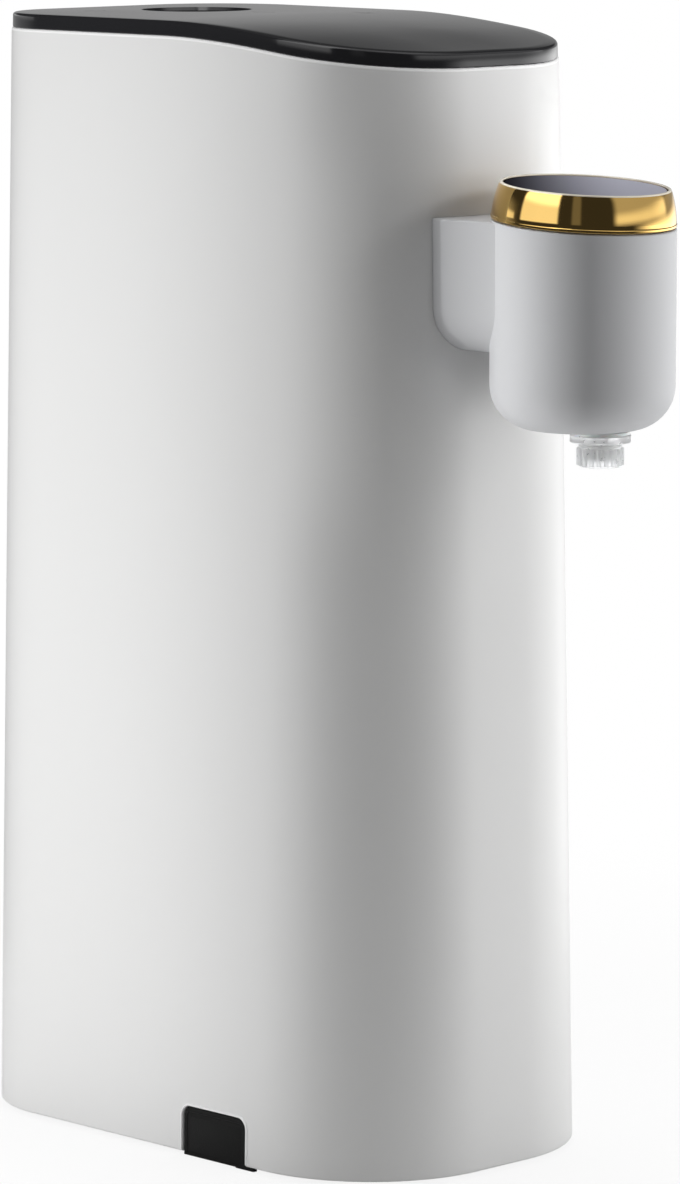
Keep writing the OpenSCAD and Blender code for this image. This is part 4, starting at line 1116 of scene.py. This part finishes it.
class MakeNozzle(bpy.types.Operator):
    """Turns the clear nozzle and sets the ribs round it"""

    bl_idname = "dispenser.make_nozzle"
    bl_label = "Nozzle"

    def execute(self, context):
        plan = plan_of(context)
        tap, finish = plan.tap, self.clear(plan.finish.clear)
        top, radius, tip, seal = tap.underside, tap.nozzle_radius, -tap.nozzle_drop, 0.8 * MM
        under = -seal - 2.2 * MM
        barrel, neck, flange, mouth = radius - 0.7 * MM, radius - 1.1 * MM, radius + 1.7 * MM, 4.6 * MM
        thread, thread_end, tail, tail_end, bore = 5 * MM, 8 * MM, 3 * MM, 20 * MM, 1.8 * MM
        chamber_top = tip + 7 * MM
        profile = rounded(
            [(mouth, tip, 0.3 * MM), (barrel, tip, 0.4 * MM), (barrel, under - 0.9 * MM, 0.2 * MM),
             (neck, under - 0.5 * MM, 0), (neck, under, 0), (flange, under, 0.4 * MM),
             (flange, -seal, 0.4 * MM), (thread, -seal, 0), (thread, thread_end, 0), (tail, 9 * MM, 0.3 * MM),
             (tail, tail_end, 0), (bore, tail_end, 0), (bore, chamber_top, 0), (mouth, chamber_top, 0)],
            4, closed=True,
        )
        nozzle = turned("clear_nozzle", profile, 96, upright(plan.nozzle_y, top), finish.material, 40)
        dress(nozzle, "housing", "nozzle_clear", "nozzle")

        height = under - tip - 2.0 * MM
        ribs = self.rib_tree().run(
            "nozzle_grip", finish.material, 40, Count=tap.nozzle_ribs, Radius=radius - 0.72 * MM,
            Rib_radius=0.62 * MM, Height=height, Place=(0, plan.nozzle_y, top + tip + 0.5 * MM + height / 2),
        )
        dress(ribs, "housing", "nozzle_clear")
        return {"FINISHED"}

    @staticmethod
    def clear(tone):
        """Clear moulded plastic, a little cloudy from the mould."""
        finish = Finish("clear_plastic", tone, 0.22, Transmission_Weight=0.8, IOR=1.2)
        cloud = finish.noise(1.6, 3)
        finish.set("Roughness", finish.roughness + cloud * 0.16)
        return finish.bump(cloud, 0.006)

    @staticmethod
    def rib_tree():
        """Round ribs set at even turns round an upright axis."""
        sizes = dict.fromkeys(("Radius", "Rib_radius", "Height"), "Float")
        tree = Shape("Ribs round an axis", Count="Int", **sizes, Place="Vector")
        given = tree.given
        places = tree.node("GeometryNodeMeshCircle", None, given["Count"], given["Radius"])
        rib = tree.node(
            "GeometryNodeMeshCylinder", {"fill_type": "TRIANGLE_FAN"},
            Vertices=14, Radius=given["Rib radius"], Depth=given["Height"],
        )
        ribs = tree.node("GeometryNodeInstanceOnPoints", None, places, None, rib)
        return tree.done(tree.moved(ribs, Translation=given["Place"]))


class FinishInside(bpy.types.Operator):
    """Gives each CAD node that stays its own finish"""

    bl_idname = "dispenser.finish_inside"
    bl_label = "Inner pieces"

    def execute(self, context):
        hose = {"Subsurface_Weight": 0.2, "Subsurface_Scale": 2 * MM}
        replaced = (
            "outer_shell lid_plate tap_housing knob_ring touch_disc nozzle cord_gland rubber_feet "
            "socket_seal strainer return_spring"
        )
        looks = {
            drawn_metal("drawn_steel", (0.6, 0.6, 0.62), 0.28):
                "base_screws frame_screws board_screws tap_screws heater_tube hose_clips retaining_ring "
                "temp_probe pump_rotor",
            moulded("moulded_white", (0.78, 0.78, 0.76), 0.45, 0.5, 0.006):
                "flow_impeller heater_caps knob_base knob_carrier disc_carrier nozzle_nut "
                "flow_straightener " + replaced,
            moulded("moulded_black", (0.03, 0.03, 0.032), 0.42, 0.5, 0.008):
                "pump_head flow_meter thermal_cutouts press_switch signal_lead",
            self.board_finish(): "touch_board power_board knob_board",
            moulded("hose_silicone", (0.78, 0.79, 0.78), 0.32, 2, 0.01, **hose):
                "inlet_hose pump_hose feed_hose outlet_hose nozzle_seal",
            self.tinted_sheath(): "heating_element",
            moulded("base_plate_white", (0.74, 0.74, 0.73), 0.5, 0.6, 0.01): "base_plate",
            moulded("cup_black", (0.03, 0.03, 0.033), 0.35, 0.8, 0.006): "socket_cup",
            moulded("frame_grey", (0.55, 0.56, 0.58), 0.5, 0.7, 0.012): "chassis",
            moulded("bracket_grey", (0.16, 0.16, 0.17), 0.5, 0.7, 0.012): "heater_saddles tap_bracket",
            moulded("relay_blue", (0.03, 0.1, 0.34), 0.3, 0.8, 0.004): "relay",
            moulded("terminal_green", (0.02, 0.24, 0.1), 0.4, 0.8, 0.006): "terminal_block",
            moulded("winding_tape", (0.68, 0.46, 0.05), 0.4, 1.5, 0.02): "transformer",
            rubber("pad_foam", (0.16, 0.16, 0.16), 0.8): "touch_pads",
            rubber("mount_rubber", (0.03, 0.03, 0.03)): "pump_mount",
            drawn_metal("motor_zinc", (0.5, 0.51, 0.53), 0.35): "pump_motor",
            drawn_metal("sink_alloy", (0.72, 0.72, 0.74), 0.38): "heat_sink",
        }
        for finish, names in looks.items():
            for name in names.split():
                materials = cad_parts[name].data.materials
                materials.clear()
                materials.append(finish.material)
        return {"FINISHED"}

    @staticmethod
    def board_finish():
        """Solder mask with paler tracks under it."""
        finish, cell = Finish("solder_mask", (0.015, 0.16, 0.06), 0.3), 5 * MM
        edges = {"feature": "DISTANCE_TO_EDGE"}
        cells = finish.node("ShaderNodeTexVoronoi", edges, finish.here, Scale=1 / cell)
        track = 1 - cells.fade(0.04, 0.08)
        finish.set("Base Color", finish.mix(track, finish.tone, (0.05, 0.3, 0.12, 1)))
        return finish.bump(track, 0.03)

    @staticmethod
    def tinted_sheath():
        """Heater sheath with the straw and blue tints of heat."""
        finish = Finish("heat_tinted_sheath", (0.35, 0.32, 0.3), 0.4, 1.0)
        straw, blue = (0.42, 0.33, 0.2, 1), (0.2, 0.2, 0.3, 1)
        finish.set("Base Color", finish.mix(finish.noise(14, 3), straw, blue))
        return finish.bump(finish.noise(0.6, 3), 0.01)


class MakeStage(bpy.types.Operator):
    """Sets the camera, the plain floor and the soft lamps"""

    bl_idname = "dispenser.make_stage"
    bl_label = "Stage"

    # each lamp's name, place, the point it faces, its size, and its spread in degrees
    LAMPS = (
        ("rear", (-0.238, 0.186, 0.21), (-0.1, 0.255, 0.21), (0.47, 0.42), 180),
        ("front", (0.195, -0.254, 0.21), (0.0, 0.2, 0.21), (0.32, 0.42), 180),
        ("head", (-0.231, 0.096, 0.235), (-0.012, -0.108, 0.235), (0.04, 0.1), 14),
        ("upper", (0.12, -0.34, 0.42), (0.02, -0.03, 0.3), (0.08, 0.08), 24),
        ("back", (0.5, 0.55, 0.45), (0.0, 0.05, 0.15), (0.5, 0.6), 180),
        ("top", (0.1, 0.1, 1.3), (0.0, 0.0, 0.2), (0.9, 0.9), 180),
    )

    def execute(self, context):
        scene, stage = context.scene, context.scene.dispenser.stage
        scene.view_settings.view_transform = "Standard"
        self.camera(scene, stage)
        self.world(scene, stage)
        self.floor(stage)
        for name, *how in self.LAMPS:
            self.lamp(scene, name + "_lamp", getattr(stage, name + "_light"), *how)
        return {"FINISHED"}

    @staticmethod
    def camera(scene, stage):
        back = Vector((
            sin(stage.azimuth) * cos(stage.elevation),
            -cos(stage.azimuth) * cos(stage.elevation),
            sin(stage.elevation),
        ))
        camera = bpy.data.objects.new("camera", bpy.data.cameras.new("camera"))
        camera.data.lens, camera.data.clip_end = stage.lens, 100
        camera.location = Vector(stage.target) + back * stage.distance
        camera.rotation_euler = back.to_track_quat("Z", "Y").to_euler()
        scene.collection.objects.link(camera)
        scene.camera = camera

    @staticmethod
    def world(scene, stage):
        """White to the eye and through clear plastic, plain light on the pieces, and a studio in gloss."""
        world = scene.world or bpy.data.worlds.new("room")
        scene.world = world
        world.use_nodes = True
        world.node_tree.nodes.clear()
        room = Nodes(world.node_tree)

        def ray(fact):
            return room.node("ShaderNodeLightPath", out=fact)

        # the studio is only for what the eye sees mirrored, and lights no piece by way of another
        gloss = ray("Is Glossy Ray") * (1 - ray("Ray Depth").fade(2.2, 2.8))
        strength = stage.ambient + (ray("Is Camera Ray") + ray("Is Transmission Ray")) * (1 - stage.ambient)
        strength = strength + gloss * (MakeStage.studio(room, stage) - stage.ambient)
        light = room.node("ShaderNodeBackground", None, (1, 1, 1, 1), strength)
        room.feed(world.node_tree.nodes.new("ShaderNodeOutputWorld").inputs["Surface"], light)

    @staticmethod
    def studio(room, stage):
        """What polished pieces mirror: a lit backdrop, cards round the dispenser and one overhead."""
        way = room.node("ShaderNodeTexCoord", out="Generated")
        x, y, z = [room.node("ShaderNodeSeparateXYZ", None, way, out=k) for k in range(3)]
        ahead = x * sin(stage.azimuth) + y * -cos(stage.azimuth)
        aside = x * cos(stage.azimuth) + y * sin(stage.azimuth)
        turn = aside.sum("ARCTAN2", aside, ahead)

        def card(start, end, soft=4):
            """A card between two turns in degrees, from the way ahead, with soft edges."""
            start, end, soft = radians(start), radians(end), radians(soft)
            return turn.fade(start, start + soft) * (1 - turn.fade(end - soft, end))

        high, low = z.fade(-0.02, 0.08), z.fade(-0.3, -0.2) * (1 - z.fade(-0.06, 0.04))
        backdrop = (1 - ahead.fade(-0.5, 0)) * (1 - z.fade(0.14, 0.3)) * 0.3
        far_left = card(-160, -98) * 0.75 * (1 - z.fade(0.1, 0.15))
        left = card(-90, -33) * (1 + z.fade(0.28, 0.38) * 0.8)
        middle = card(-19, -4) * 0.12
        right = card(33, 128, 10) * (0.9 - z.fade(0.1, 0.24) * 0.5)
        side = card(60, 179, 40) * 1.8
        overhead = z.fade(0.7, 0.95) * 0.6
        return stage.gloss + backdrop + high * (far_left + left + middle + right) + low * side + overhead

    @staticmethod
    def floor(stage):
        """Pale floor that lets the white round it through, and more so away from the dispenser."""
        flat, rim, sides = 0.4, 1.2, 64
        form = Form().loft(
            [[(r * cos(turn), r * sin(turn), 0) for turn in circle(sides)] for r in (flat, rim)], capped=False
        )
        form.faces.append(tuple(form.rings[0]))
        look = Finish("pale_floor", (0.9, 0.9, 0.9), 0.8)
        away = look.node("ShaderNodeVectorMath", {"operation": "LENGTH"}, look.here, out=1)
        clear = look.node("ShaderNodeBsdfTransparent")
        seen = look.node("ShaderNodeLightPath", out="Is Camera Ray")
        near = stage.floor_veil + seen * (stage.floor_white - stage.floor_veil)
        veil = near + away.fade(0.16, 0.5) * (1 - near)
        mixed = look.node("ShaderNodeMixShader", None, veil, Wire(look, look.shader.outputs[0]), clear)
        look.feed(look.tree.nodes["Material Output"].inputs["Surface"], mixed)
        floor = form.piece("floor", look.material)

    @staticmethod
    def lamp(scene, name, power, place, target, size, spread):
        data = bpy.data.lights.new(name, "AREA")
        data.shape, (data.size, data.size_y), data.energy = "RECTANGLE", size, power
        data.spread = radians(spread)
        lamp = bpy.data.objects.new(name, data)
        lamp.location = place
        lamp.rotation_euler = (Vector(place) - Vector(target)).to_track_quat("Z", "Y").to_euler()
        lamp.visible_camera = lamp.visible_glossy = False
        scene.collection.objects.link(lamp)


class DispenserPanel(bpy.types.Panel):
    """Lists the sizes, the colours and the steps of the dispenser"""

    bl_idname = "VIEW3D_PT_dispenser"
    bl_label = "Hot water dispenser"
    bl_space_type = "VIEW_3D"
    bl_region_type = "UI"
    bl_category = "Dispenser"

    def draw(self, context):
        for part in Dispenser.__annotations__:
            box = self.layout.box()
            box.label(text=part.title())
            sizes = getattr(context.scene.dispenser, part)
            for name in sizes.__annotations__:
                box.prop(sizes, name)
        for step in STEPS:
            self.layout.operator(step.bl_idname)


GROUPS = (BodySizes, LidSizes, TapSizes, GlandSizes, Finishes, StageSetup, Dispenser)
STEPS = (
    MakeShell, MakeLid, MakeSeal, MakeStrainer, MakeGland, MakeFeet, MakeTap, MakeKnob, MakeSpring,
    MakeNozzle, FinishInside, MakeStage,
)
CLASSES = (*GROUPS, *STEPS, DispenserPanel)


def register():
    for each in CLASSES:
        bpy.utils.register_class(each)
    bpy.types.Scene.dispenser = PointerProperty(type=Dispenser)


def unregister():
    del bpy.types.Scene.dispenser
    for each in reversed(CLASSES):
        bpy.utils.unregister_class(each)


def main():
    register()
    for step in STEPS:
        group, name = step.bl_idname.split(".")
        getattr(getattr(bpy.ops, group), name)()
    bpy.context.view_layer.update()


if __name__ == "__main__":
    main()
